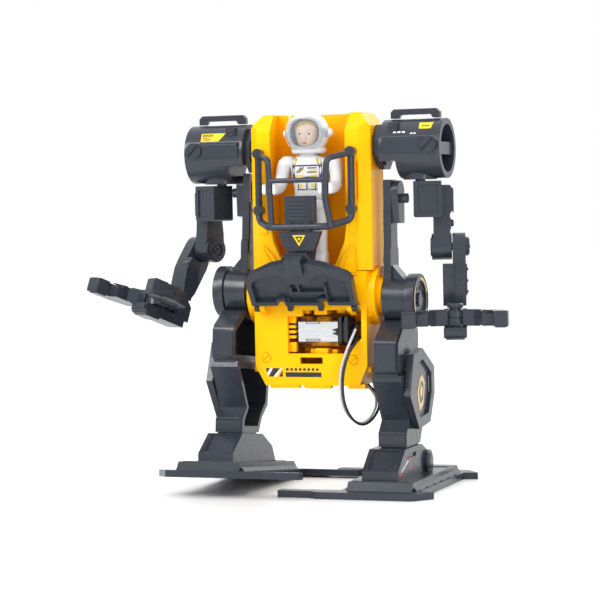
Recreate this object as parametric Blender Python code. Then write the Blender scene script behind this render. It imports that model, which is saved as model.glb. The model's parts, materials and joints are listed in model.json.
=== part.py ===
"""Two-legged walking loader toy with a standing pilot figure, as an assembly of separate pieces.

The toy stands on the floor at z = 0 and faces -Y. "left" is the toy's own left, which is +X.
Lengths below are millimetres; MM turns them into Blender's metres.
"""
import math

import bmesh
import bpy
from mathutils import Matrix, Vector

MM = 0.001
GAP = 0.3                      # clearance kept between neighbouring pieces

# Driving dimensions
STAND = (4.9, 3.0)             # moves the hip centre so that the toy's footprint is centred on the origin
AXLE_Z = 93.5                  # crank axle above the floor
CRANK = 2.3                    # eccentricity of the two hip cams
LEG = 91.2                     # hip centre to the sole of the foot
STRIDE_PITCH = -5.82           # pitch of the raised right leg, degrees about X
TORSO_HALF = 30.6              # half width of the torso
FRONT = -14.2                  # front plane of the torso
REAR = 14.0                    # rear plane of the torso
TORSO_TOP = 182.0
BELLY_HALF = 28.7
BELLY_TOP = 105.7
BELLY_BOTTOM = 50.4
POD_CENTRE = (3.0, 163.8)      # Y and Z of the shoulder pods' axis
POD_RADIUS = 14.4
MOTOR_CENTRE = (-6.6, 76.5)    # Y and Z of the motor shaft

FACETS = 0.7                   # share of its nominal facets that a round solid is made with

# Colours (linear RGB), roughness, metallic
FINISHES = {
    "yellow": ((0.90, 0.46, 0.01), 0.42, 0.0),
    "grey": ((0.060, 0.070, 0.090), 0.45, 0.0),
    "white": ((0.80, 0.80, 0.78), 0.45, 0.0),
    "steel": ((0.60, 0.60, 0.60), 0.30, 1.0),
    "brass": ((0.72, 0.50, 0.20), 0.35, 1.0),
    "black": ((0.015, 0.015, 0.017), 0.40, 0.0),
    "visor": ((0.35, 0.55, 0.62), 0.12, 0.0),
    "cell": ((0.30, 0.32, 0.34), 0.40, 0.6),
    "skin": ((0.75, 0.50, 0.36), 0.50, 0.0),
}

# Local x, y, z of an outline's curve turned so that it is extruded along a world axis
EXTRUDE_ALONG = {
    "X": Matrix(((0, 0, 1), (1, 0, 0), (0, 1, 0))),    # the outline is (y, z)
    "Y": Matrix(((1, 0, 0), (0, 0, -1), (0, 1, 0))),   # the outline is (x, z)
    "Z": Matrix.Identity(3),                           # the outline is (x, y)
}


# ---------------------------------------------------------------- scene and helpers

for old in list(bpy.data.objects):
    bpy.data.objects.remove(old)

PART = bpy.data.collections.new("walking_loader")
TOOLS = bpy.data.collections.new("cutters")
bpy.context.scene.collection.children.link(PART)
bpy.context.scene.collection.children.link(TOOLS)


def empty(name, at, parent=None, turn=(0.0, 0.0, 0.0)):
    """An empty at a place in its parent's millimetres, turned by degrees about X, Y and Z."""
    obj = bpy.data.objects.new(name, None)
    PART.objects.link(obj)
    obj.location = Vector(at) * MM
    obj.rotation_euler = [math.radians(a) for a in turn]
    obj.parent = parent
    return obj


ORIGIN = empty("stand_origin", (STAND[0], STAND[1], 0.0))


def material(finish):
    """The plain colour material of a finish, made once."""
    found = bpy.data.materials.get(finish)
    if found:
        return found
    color, roughness, metallic = FINISHES[finish]
    made = bpy.data.materials.new(finish)
    made.use_nodes = True
    shader = made.node_tree.nodes["Principled BSDF"]
    shader.inputs["Base Color"].default_value = (*color, 1.0)
    shader.inputs["Roughness"].default_value = roughness
    shader.inputs["Metallic"].default_value = metallic
    return made


def add_object(name, mesh, finish, parent):
    """Link a mesh as a part, or as a hidden tool when it has no finish."""
    obj = bpy.data.objects.new(name, mesh)
    if finish is None:
        TOOLS.objects.link(obj)
        obj.hide_render = True
        obj.display_type = "WIRE"
    else:
        PART.objects.link(obj)
        mesh.materials.append(material(finish))
    obj.parent = parent or ORIGIN
    return obj


def box(name, low, high, finish=None, parent=None):
    """A block between two opposite corners."""
    low, high = Vector(low), Vector(high)
    bm = bmesh.new()
    bmesh.ops.create_cube(bm, size=1.0)
    bmesh.ops.scale(bm, vec=(high - low) * MM, verts=bm.verts)
    mesh = bpy.data.meshes.new(name)
    bm.to_mesh(mesh)
    bm.free()
    obj = add_object(name, mesh, finish, parent)
    obj.location = (low + high) / 2 * MM
    return obj


def cylinder(name, start, end, radius, finish=None, parent=None, sides=24, end_radius=None):
    """A cylinder or cone from one end point to the other."""
    start, end = Vector(start), Vector(end)
    bm = bmesh.new()
    bmesh.ops.create_cone(
        bm, cap_ends=True, segments=max(6, round(sides * FACETS)), radius1=radius * MM,
        radius2=(radius if end_radius is None else end_radius) * MM,
        depth=(end - start).length * MM)
    mesh = bpy.data.meshes.new(name)
    bm.to_mesh(mesh)
    bm.free()
    mesh.shade_smooth()
    mesh.set_sharp_from_angle(angle=math.radians(40))
    obj = add_object(name, mesh, finish, parent)
    obj.location = (start + end) / 2 * MM
    obj.rotation_euler = (end - start).to_track_quat("Z", "Y").to_euler()
    return obj


def ball(name, centre, radius, finish=None, parent=None, segments=16, rings=10, stretch=(1, 1, 1)):
    """A ball, or an egg when stretched."""
    bm = bmesh.new()
    bmesh.ops.create_uvsphere(bm, u_segments=round(segments * FACETS), v_segments=round(rings * FACETS),
                              radius=radius * MM)
    bmesh.ops.scale(bm, vec=stretch, verts=bm.verts)
    mesh = bpy.data.meshes.new(name)
    bm.to_mesh(mesh)
    bm.free()
    mesh.shade_smooth()
    obj = add_object(name, mesh, finish, parent)
    obj.location = Vector(centre) * MM
    return obj


def mesh_from_curve(obj, finish, parent):
    """Replace a curve by a welded mesh at the same place, so that it can be cut and joined."""
    bpy.context.view_layer.update()
    graph = bpy.context.evaluated_depsgraph_get()
    mesh = bpy.data.meshes.new_from_object(obj.evaluated_get(graph))
    bm = bmesh.new()
    bm.from_mesh(mesh)
    bmesh.ops.remove_doubles(bm, verts=bm.verts, dist=0.00001)
    bmesh.ops.recalc_face_normals(bm, faces=bm.faces)
    bm.to_mesh(mesh)
    bm.free()
    mesh.materials.clear()
    name, matrix = obj.name, obj.matrix_world.copy()
    bpy.data.objects.remove(obj)
    made = add_object(name, mesh, finish, parent)
    made.name = name
    made.matrix_basis = matrix
    return made


def plate(name, outlines, axis, low, high, finish=None, parent=None):
    """Flat outlines, the first outside and any others holes, extruded along an axis from low to high."""
    if not isinstance(outlines[0][0], (tuple, list)):
        outlines = [outlines]
    curve = bpy.data.curves.new(name, "CURVE")
    curve.dimensions = "2D"
    curve.fill_mode = "BOTH"
    curve.extrude = abs(high - low) / 2 * MM
    for outline in outlines:
        spline = curve.splines.new("POLY")
        spline.points.add(len(outline) - 1)
        for point, (a, b) in zip(spline.points, outline):
            point.co = (a * MM, b * MM, 0.0, 1.0)
        spline.use_cyclic_u = True
    obj = bpy.data.objects.new(name, curve)
    bpy.context.scene.collection.objects.link(obj)
    middle = Vector((0, 0, 0))
    middle["XYZ".index(axis)] = (low + high) / 2 * MM
    obj.matrix_world = Matrix.Translation(middle) @ EXTRUDE_ALONG[axis].to_4x4()
    return mesh_from_curve(obj, finish, parent)


def tube(name, points, radius, finish=None, parent=None, resolution=1, cyclic=False):
    """A round bar along straight runs between points."""
    curve = bpy.data.curves.new(name, "CURVE")
    curve.dimensions = "3D"
    curve.bevel_depth = radius * MM
    curve.bevel_resolution = resolution
    curve.use_fill_caps = True
    spline = curve.splines.new("POLY")
    spline.points.add(len(points) - 1)
    for point, place in zip(spline.points, points):
        point.co = (*(Vector(place) * MM), 1.0)
    spline.use_cyclic_u = cyclic
    obj = bpy.data.objects.new(name, curve)
    bpy.context.scene.collection.objects.link(obj)
    return mesh_from_curve(obj, finish, parent)


def combine(target, operation, pieces):
    """Boolean each tool piece with the target, exactly."""
    for piece in pieces:
        step = target.modifiers.new(piece.name, "BOOLEAN")
        step.operation = operation
        step.solver = "EXACT"
        step.object = piece
    return target


def join(target, *pieces):
    """Add the pieces to the target."""
    return combine(target, "UNION", pieces)


def cut(target, *pieces):
    """Take the pieces away from the target."""
    return combine(target, "DIFFERENCE", pieces)


def mirrored(outline, side):
    """An outline whose first coordinate is X, on the chosen side."""
    return [(side * x, other) for x, other in outline]


def both_sides(outline):
    """Close a half outline, given from the plane outwards, with its mirror image."""
    return outline + [(-x, other) for x, other in reversed(outline)]


def side_name(side):
    """Name of the toy's own side: +1 is left, -1 is right."""
    return "left" if side > 0 else "right"


def span(side, inner, outer):
    """The X limits of a piece that lies between two distances from the middle, on one side."""
    return sorted((side * inner, side * outer))


def arc(centre, radius, start, end, steps):
    """Points on an arc, angles in degrees."""
    points = []
    for step in range(steps + 1):
        angle = math.radians(start + (end - start) * step / steps)
        points.append((centre[0] + radius * math.cos(angle), centre[1] + radius * math.sin(angle)))
    return points


def smooth_route(route, spacing):
    """Evenly read points on a Catmull-Rom curve through hand-chosen route points."""
    knots = [Vector(p) for p in route]
    knots = [2 * knots[0] - knots[1]] + knots + [2 * knots[-1] - knots[-2]]
    fine = []
    for a, b, c, d in zip(knots, knots[1:], knots[2:], knots[3:]):
        for step in range(20):
            t = step / 20
            fine.append(0.5 * (2 * b + (c - a) * t + (2 * a - 5 * b + 4 * c - d) * t * t
                               + (3 * b - a - 3 * c + d) * t ** 3))
    fine.append(knots[-2])
    total = sum((q - p).length for p, q in zip(fine, fine[1:]))
    count = round(total / spacing)
    points, travelled, target = [fine[0]], 0.0, total / count
    for p, q in zip(fine, fine[1:]):
        step = (q - p).length
        while travelled + step >= target - 1e-6 and len(points) < count:
            points.append(p.lerp(q, (target - travelled) / step))
            target += total / count
        travelled += step
    points.append(fine[-1])
    return points


def gear_outline(teeth, outer, root, centre=(0.0, 0.0), phase=0.0):
    """Points of a simple straight-flanked gear."""
    points = []
    pitch = 2 * math.pi / teeth
    for tooth in range(teeth):
        for share, radius in ((-0.34, root), (-0.14, outer), (0.14, outer), (0.34, root)):
            angle = phase + (tooth + share) * pitch
            points.append((centre[0] + radius * math.cos(angle), centre[1] + radius * math.sin(angle)))
    return points


# ---------------------------------------------------------------- torso

WALL = 2.0
RAIL = 19.2                    # inner edge of the front rails
BEVEL_Y = FRONT + 5.0          # where the front bevel meets the side
BEVEL_X = TORSO_HALF - 5.0
SEAT_Y = 1.5                   # front face of the cockpit's rear wall
SPLIT_Y = 9.0                  # parting plane between the front shells and the back cover
BATTERY_HALF = 14.5
CAGE_X = 23.6                  # cage fixing points
CAGE_Y = -18.2
CAGE_Z = (163.0, 135.6)
HATCH_HINGE = (-19.0, 89.0)    # Y and Z of the hatch hinge
# what is cut off the outer upper corners, in X and Z
CORNER_CUT = [(TORSO_HALF + 4, 170), (TORSO_HALF, 175.5), (25.0, TORSO_TOP), (25.0, TORSO_TOP + 6),
              (TORSO_HALF + 4, TORSO_TOP + 6)]


def torso_plan():
    """Plan of the open-fronted tub: a thin wall that folds round both rails."""
    outside = [(RAIL, FRONT), (BEVEL_X, FRONT), (TORSO_HALF, BEVEL_Y), (TORSO_HALF, SPLIT_Y)]
    inside = [(TORSO_HALF - WALL, SPLIT_Y), (TORSO_HALF - WALL, BEVEL_Y + 0.8),
              (BEVEL_X - 0.8, FRONT + WALL), (RAIL + WALL, FRONT + WALL),
              (RAIL + 3.3, SEAT_Y + WALL)]
    right_half = [(RAIL + 1.3, SEAT_Y)] + outside + inside
    return right_half + [(-x, y) for x, y in reversed(right_half)]


def boss_clearances():
    """Cutters that keep the other shells clear of the hip bosses."""
    return [cylinder("boss_clearance", (side * 26.7, 0, AXLE_Z), (side * 40, 0, AXLE_Z), 14.2 + GAP,
                     sides=32)
            for side in (1, -1)]


def torso_shell():
    """Open-fronted yellow tub with a roof, a floor and sockets for the shoulder pods."""
    body = plate("torso_shell", torso_plan(), "Z", BELLY_TOP + GAP, TORSO_TOP - 3.0, "yellow")
    right = [(RAIL, FRONT), (BEVEL_X, FRONT), (TORSO_HALF, BEVEL_Y), (TORSO_HALF, SPLIT_Y)]
    left = [(-x, y) for x, y in reversed(right)]
    roof = plate("torso_roof", right + left + [(-RAIL - 1.3, SEAT_Y), (RAIL + 1.3, SEAT_Y)],
                 "Z", TORSO_TOP - 11.0, TORSO_TOP)
    floor = plate("torso_floor", right + left, "Z", BELLY_TOP + GAP, BELLY_TOP + 3.0)
    join(body, roof, floor)
    for side in (1, -1):
        # the front strip widens inwards at its foot and ends in a pointed cheek beside the hatch
        cheek = plate("cheek", mirrored([(BEVEL_X - 1, 130), (RAIL + 0.5, 130), (RAIL - 1, 120),
                                         (13.2, 108.5), (13.2, BELLY_TOP + GAP),
                                         (BEVEL_X - 1, BELLY_TOP + GAP)], side),
                      "Y", FRONT, FRONT + 3.0)
        mount, lower = (cylinder("cage_post", (side * CAGE_X, FRONT + 1, z),
                                 (side * CAGE_X, FRONT - 1.2, z),
                                 2.3, sides=12) for z in CAGE_Z)
        low, high = span(side, 28.0, 30.7)
        rib = box("side_rib", (low, -6, 120), (high, -4, 150))
        socket = plate("neck_socket", [(-6.5, 154), (8.8, 154), (8.8, 178), (-6.5, 178)], "X",
                       *span(side, 20.9, 29.0))
        join(body, cheek, mount, lower, rib, socket)
    # sloped fronts and outer corners of the rail tops
    front_slope = plate("front_slope", [(FRONT - 5, 166), (FRONT, 173.5), (-6.5, TORSO_TOP),
                                        (-6.5, TORSO_TOP + 6), (FRONT - 5, TORSO_TOP + 6)],
                        "X", -40, 40)
    cut(body, front_slope)
    for side in (1, -1):
        corner = plate("corner_slope", mirrored(CORNER_CUT, side), "Y", -30, 30)
        notch = box("rail_slot", *zip(span(side, 24.2, 25.6), (FRONT - 1, FRONT + 1.0), (140, 158)))
        cut(body, corner, notch)
    head_gap = plate("head_gap", both_sides([(17, TORSO_TOP + 2), (12.5, 176.5)]),
                     "Y", SEAT_Y - 1, SPLIT_Y + 1)
    return cut(body, head_gap, *boss_clearances())


def belly_housing():
    """Gearbox housing: front shell open at the back, with a window on the motor and a latch slot."""
    half = BELLY_HALF
    chamfer = 4.7
    outline = both_sides([(half - chamfer, BELLY_BOTTOM), (half, BELLY_BOTTOM + 9.6), (half, BELLY_TOP)])
    body = plate("belly_housing", outline, "Y", FRONT - 0.3, SPLIT_Y, "yellow")
    inner = both_sides([(half - chamfer - WALL, BELLY_BOTTOM + WALL), (half - WALL, BELLY_BOTTOM + 10.5),
                        (half - WALL, BELLY_TOP - WALL)])
    cut(body, plate("belly_hollow", inner, "Y", FRONT + 1.8, SPLIT_Y + 5))
    # the lower band of the front leans back
    lean = plate("belly_lean", [(FRONT - 2, 59), (FRONT - 0.3, 59), (FRONT + 1.0, BELLY_BOTTOM - 1),
                                (FRONT - 2, BELLY_BOTTOM - 1)], "X", -40, 40)
    window = plate("motor_window", [(-11.7, 66), (18.5, 66), (26, 73.5), (26, 87), (-4, 87), (-4, 84),
                                    (-11.7, 84)], "Y", FRONT - 3, FRONT + 4)
    slot = box("latch_slot", (-5.6, FRONT - 3, 61), (6.0, FRONT + 4, 64.2))
    wire_hole = box("wire_hole", (16.6, 3.4, BELLY_BOTTOM - 1), (23.6, 8.2, BELLY_BOTTOM + 4))
    cut(body, lean, window, slot, wire_hole)
    for side in (1, -1):
        boss = cylinder("hip_boss", (side * 27, 0, AXLE_Z), (side * 32.6, 0, AXLE_Z), 14.2, sides=32)
        hub = cylinder("hip_hub", (side * 27, 0, AXLE_Z), (side * (35 - 0.4), 0, AXLE_Z), 10.0, sides=32)
        low, high = span(side, half - 1, half + 1.2)
        ledge = box("side_ledge", (low, FRONT + 2, 57), (high, SPLIT_Y - 1, 59.5))
        flange = box("side_flange", (low, FRONT + 3, 84), (high, SPLIT_Y - 1, 103))
        join(body, boss, hub, ledge, flange)
        bore = cylinder("axle_bore", (side * 20, 0, AXLE_Z), (side * 40, 0, AXLE_Z), 1.9, sides=16)
        cut(body, bore)
    for x, z in ((-23, 64), (21.7, 63)):
        cut(body, cylinder("screw_well", (x, FRONT - 3, z), (x, FRONT + 0.9, z), 2.5, sides=16))
        cut(body, cylinder("screw_bore", (x, FRONT - 3, z), (x, FRONT + 4, z), 1.1, sides=12))
    for side in (1, -1):
        # hinge ears for the hatch
        ear = plate("hinge_ear",
                    [(FRONT + 0.5, 84.5), (FRONT + 0.5, 93.5)] + arc((-19, 89), 2.6, 100, 260, 6),
                    "X", *span(side, 20.9, 23.4))
        hole = cylinder("hinge_bore", (side * 20, -19, 89), (side * 25, -19, 89), 1.15, sides=12)
        join(body, ear)
        cut(body, hole)
    return body


def back_cover():
    """Rear half of the torso and gearbox, with the battery bay, vents and switch slot."""
    outline_low = [(BELLY_HALF, SPLIT_Y + GAP), (BELLY_HALF, 11.0), (BELLY_HALF - 3.5, REAR)]
    outline_high = [(TORSO_HALF, SPLIT_Y + GAP), (TORSO_HALF, 10.0), (TORSO_HALF - 4.0, REAR)]
    body = plate("back_cover", both_sides(outline_high), "Z", BELLY_TOP + 1, TORSO_TOP, "yellow")
    lower = plate("back_lower", both_sides(outline_low), "Z", BELLY_BOTTOM, BELLY_TOP + 2)
    battery_box = box("battery_box", (-BATTERY_HALF, SPLIT_Y + 1, 110), (BATTERY_HALF, 18.0, 166))
    join(body, lower, battery_box)
    hollow_low = box("lower_hollow", (-BELLY_HALF + 2.2, SPLIT_Y - 5, BELLY_BOTTOM + 2),
                     (BELLY_HALF - 2.2, REAR - 1.8, BELLY_TOP - 3))
    hollow_high = box("upper_hollow", (-TORSO_HALF + 2.2, SPLIT_Y - 5, 111), (TORSO_HALF - 2.2, 10.4, 170))
    bay = box("battery_bay", (-BATTERY_HALF + 2, 5, 112.5), (BATTERY_HALF - 2, 25, 163.5))
    cut(body, hollow_low, hollow_high, bay)
    for side in (1, -1):
        corner = plate("corner_slope_rear", mirrored(CORNER_CUT, side), "Y", -30, 30)
        cut(body, corner)
        cut(body, *(box("vent", *zip(span(side, 17.5, 25.0), (REAR - 0.9, REAR + 1), (z, z + 2.0)))
                    for z in (120, 125, 130, 135)))
    cut(body, box("switch_slot", (-5.0, REAR - 4, 93), (5.0, REAR + 2, 97)))
    return cut(body, *boss_clearances())


def battery_parts():
    """Battery door with its screw, two cells, two contact plates and the power switch."""
    door = box("battery_door", (-BATTERY_HALF, 18.0 + GAP, 110), (BATTERY_HALF, 20.3, 166), "grey")
    for z in range(120, 156, 5):
        cut(door, box("grip_groove", (-10, 19.6, z), (10, 21, z + 1.8)))
    cut(door, cylinder("screw_well", (0, 19.5, 161), (0, 22, 161), 2.4, sides=16))
    cut(door, cylinder("screw_bore", (0, 17, 161), (0, 22, 161), 1.2, sides=12))
    cylinder("battery_door_screw", (0, 19.6 + 0.1, 161), (0, 21.0, 161), 2.0, "steel", sides=12)
    for index, x in enumerate((5.8, -5.8)):
        up = 1 if index == 0 else -1
        cell = cylinder(f"battery_cell_{index + 1}", (x, 12.0, 138 - up * 21.8), (x, 12.0, 138 + up * 21.8),
                        5.2,
                        "cell", sides=20)
        join(cell, cylinder("cell_button", (x, 12.0, 138 + up * 20), (x, 12.0, 138 + up * 22.8), 1.9,
                            sides=12))
    for name, z in (("contact_plate_top", 161.6), ("contact_plate_bottom", 113.6)):
        box(name, (-11, 7.5, z), (11, 16.5, z + 0.5), "brass")
    knob = box("switch_knob", (-3.5, REAR - 1.5, 93.4), (0.5, REAR + 1.6, 96.6), "black")
    join(knob, box("switch_foot", (-4.4, REAR - 3.3, 92.0), (1.4, REAR - 2.1, 98.0)),
         box("switch_neck", (-3.0, REAR - 3.3, 93.6), (0.0, REAR, 96.4)))


torso_shell()
belly_housing()
back_cover()
battery_parts()


# ---------------------------------------------------------------- drive

GEAR_PITCH_R = {10: 2.5, 28: 7.0}
COMPOUND_CENTRE = (-0.82, 84.04)   # Y and Z of the compound gear's shaft
AXLE_CENTRE = (0.0, AXLE_Z)


def direction(start, end):
    """Angle of the line between two centres in the Y-Z plane."""
    return math.atan2(end[1] - start[1], end[0] - start[0])


def spur_gear(name, teeth, centre, phase, low, high, bore, finish):
    """A straight gear about a centre in the Y-Z plane, between two X levels."""
    radius = GEAR_PITCH_R[teeth]
    outline = gear_outline(teeth, radius + 0.3, radius - 0.5, centre, phase)
    hole = arc(centre, bore, 0, 345, 15)
    return plate(name, [outline, hole] if bore else outline, "X", low, high, finish)


def drive():
    """Gear train from the motor pinion to the crank axle."""
    to_compound = direction(AXLE_CENTRE, COMPOUND_CENTRE)
    to_motor = direction(COMPOUND_CENTRE, MOTOR_CENTRE)
    half_pitch = math.pi / 10
    output = spur_gear("output_gear", 28, AXLE_CENTRE, to_compound, -15.2, -12.6, 1.8, "white")
    join(output, plate("output_hub", [arc(AXLE_CENTRE, 3.4, 0, 345, 15), arc(AXLE_CENTRE, 1.8, 0, 345, 15)],
                       "X", -18.0, -15.0))
    cylinder("crank_axle", (-43.5, 0, AXLE_Z), (43.5, 0, AXLE_Z), 1.5, "steel", sides=16)
    compound = spur_gear("compound_gear", 28, COMPOUND_CENTRE, to_motor, -11.9, -9.9, 0.0, "white")
    pinion = spur_gear("compound_pinion", 10, COMPOUND_CENTRE, to_compound + math.pi + half_pitch,
                       -15.2, -11.0, 0.0, None)
    shaft = cylinder("compound_shaft", (-25.5, *COMPOUND_CENTRE), (-9.0, *COMPOUND_CENTRE), 1.2, sides=12)
    join(compound, pinion, shaft)
    motor_pinion = spur_gear("motor_pinion", 10, MOTOR_CENTRE, to_motor + math.pi + half_pitch,
                             -12.2, -9.2, 0.0, "brass")
    join(motor_pinion,
         cylinder("motor_shaft", (-12.8, *MOTOR_CENTRE), (-8.5, *MOTOR_CENTRE), 0.9, sides=12))


def motor():
    """Flat-sided motor can with a bearing boss, and an endcap with two terminals."""
    y, z = MOTOR_CENTRE
    can_outline = ([(y - 6.0, z - 4.75), (y - 6.0, z + 4.75)]
                   + arc(MOTOR_CENTRE, 7.65, 128, 52, 8)[1:-1]
                   + [(y + 6.0, z + 4.75), (y + 6.0, z - 4.75)]
                   + arc(MOTOR_CENTRE, 7.65, -52, -128, 8)[1:-1])
    can = plate("motor_can", can_outline, "X", -6.8, 13.4, "steel")
    join(can, cylinder("bearing_boss", (-7.9, y, z), (-6.5, y, z), 2.8, sides=20))
    cap_outline = [(y + (py - y) * 0.93, z + (pz - z) * 0.93) for py, pz in can_outline]
    cap = plate("motor_endcap", cap_outline, "X", 13.4 + GAP, 19.0, "black")
    join(cap, cylinder("rear_bearing", (18.5, y, z), (20.6, y, z), 2.6, sides=16))
    for height in (4.1, -4.1):
        join(cap, box("terminal", (18.0, y - 1.2, z + height - 0.25), (21.6, y + 1.2, z + height + 0.25)))


WIRE_RADIUS = 0.65
WIRES = {
    "motor_wire_white": ("white", (
        (22.7, -6.6, 80.6), (23.4, -12.4, 79.6), (22.6, -17.3, 74.9), (19.6, -19.3, 66.8),
        (17.2, -20.4, 57.5), (16.8, -19.9, 47.0), (18.0, -17.4, 39.2), (20.6, -13.5, 34.0),
        (23.5, -9.2, 32.2), (26.2, -4.6, 34.2), (27.8, -0.6, 38.9), (27.2, 2.4, 43.2),
        (24.6, 4.3, 46.6), (21.4, 5.2, 49.6), (19.8, 5.2, 53.5), (19.4, 5.2, 58.0))),
    "motor_wire_black": ("black", (
        (22.7, -6.6, 72.4), (23.2, -12.2, 73.6), (23.8, -17.6, 71.2), (21.1, -20.0, 66.0),
        (18.7, -21.1, 56.9), (18.3, -20.6, 46.4), (19.5, -18.1, 38.6), (22.1, -14.2, 33.2),
        (25.0, -9.7, 31.6), (27.7, -4.8, 33.9), (29.3, -0.2, 38.6), (28.2, 3.6, 43.2),
        (25.3, 5.7, 46.6), (21.9, 6.7, 49.6), (20.3, 6.7, 53.5), (19.9, 6.7, 58.0))),
}


def motor_wires():
    """Two leads from the motor terminals, down in a loop and back up into the housing."""
    for name, (finish, route) in WIRES.items():
        tube(name, smooth_route(route, 3.4), WIRE_RADIUS, finish, resolution=2)


# ---------------------------------------------------------------- hatch, cage and console

def hatch():
    """The grey cover that swings up off the motor bay, seen from its ribbed inner side."""
    frame = empty("hatch_hinge", (0, *HATCH_HINGE), ORIGIN, turn=(32, 0, 0))
    edge = [(7.2, 26.8), (13.4, 25.4), (24.8, 20.2), (26.9, 17.0), (26.4, 3.0), (13.0, 3.0), (12.4, 5.4),
            (9.4, 5.4), (9.0, 3.0)]
    pocket = [(4.9, 15.3), (9.4, 20.5), (13.6, 21.0), (22.8, 17.0), (24.3, 14.8), (24.0, 4.8), (13.6, 4.8),
              (12.9, 7.0), (8.9, 7.0), (8.0, 4.6)]
    cover = plate("hatch_cover", both_sides([(5.6, 30.2)] + edge), "Y", -0.8, 0.8, "grey", frame)
    rim = plate("hatch_rim", [both_sides(edge), both_sides(pocket)], "Y", -3.6, 0.0, None, frame)
    join(cover, rim)
    ribs = [((-4.8, 12.7), (9.4, 10.4)), ((-5.2, -4.2), (8.0, 13.4)), ((12.2, 13.2), (6.4, 14.0)),
            ((-1.4, -0.2), (9.8, 17.0))]
    for across, up in ribs:
        join(cover, box("hatch_rib", *zip(across, (-3.0, 0.0), up), None, frame))
    for side in (1, -1):
        prong = box("hatch_prong", *zip(span(side, 6.6, 9.0), (-2.4, 0.8), (-1.0, 6.0)), None, frame)
        knuckle = cylinder("hatch_knuckle", (side * 23.8, 0, 0), (side * 26.2, 0, 0), 2.5, None, frame,
                           sides=16)
        arm = box("hatch_arm", *zip(span(side, 23.8, 26.2), (-0.8, 0.8), (0, 9.5)), None, frame)
        join(cover, prong, knuckle, arm)
        cut(cover, cylinder("knuckle_bore", (side * 23, 0, 0), (side * 27, 0, 0), 1.15, None, frame,
                            sides=12))
        cylinder(f"hatch_pin_{side_name(side)}", (side * 20.4, *HATCH_HINGE), (side * 26.6, *HATCH_HINGE),
                 0.85,
                 "steel", sides=12)
    hook = plate("latch_hook",
                 [(-0.2, 27.0), (-0.2, 30.0), (-5.6, 30.0), (-5.6, 21.4), (-4.4, 21.4), (-4.4, 28.6)],
                 "X", -4.2, 4.2, None, frame)
    join(cover, hook)


def cage():
    """Roll cage in front of the pilot: two side loops, a top and a bottom bar, and knobs."""
    bar = 1.45
    front_y = -28.6
    parts = []
    for side in (1, -1):
        loop = [(side * CAGE_X, CAGE_Y, CAGE_Z[0]), (side * 14.8, front_y, 159.7),
                (side * 13.6, front_y, 127.4), (side * CAGE_X, CAGE_Y, CAGE_Z[1])]
        parts.append(tube("cage_loop", loop, bar, cyclic=True))
        parts += [ball("cage_knob", (side * CAGE_X, CAGE_Y, z), 2.5, segments=14, rings=8) for z in CAGE_Z]
    cross = tube("cage", [(-13.6, front_y, 127.4), (13.6, front_y, 127.4)], bar * 0.95, "grey")
    parts.append(tube("cage_bar", [(-14.5, front_y, 149.6), (14.5, front_y, 149.6)], 1.15))
    join(cross, *parts)


def console():
    """Screen and emblem plate that stand in front of the pilot's legs."""
    body = plate("console", both_sides([(7.3, 116), (10.9, 125.2)]), "Y", -27.8, -24.6, "grey")
    screen = box("console_screen", (-7.7, -26.4, 129.2), (7.7, -23.6, 142.2))
    neck = box("console_neck", (-6.2, -26.8, 124), (6.2, -24.8, 131))
    join(body, screen, neck)
    for row in range(6):
        z = 130.6 + row * 1.8
        join(body, box("screen_line", (-5.6, -26.9, z), (5.6, -26.0, z + 0.8)))
    cut(body, plate("emblem_recess", [(-3.2, 123.4), (3.2, 123.4), (0, 118.4)], "Y", -29, -27.4))
    foot = plate("console_foot", both_sides([(5.5, 108.5), (6.8, 117)]), "Y", -25.6, -22.0)
    join(body, foot)


drive()
motor()
motor_wires()
hatch()
cage()
console()


# ---------------------------------------------------------------- shoulder pods

POD_IN, POD_OUT = 35.0, 65.4
SHOULDER = (51.5, 3.0, 148.0)  # |X|, Y and Z of the arm's vertical pin


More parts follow.
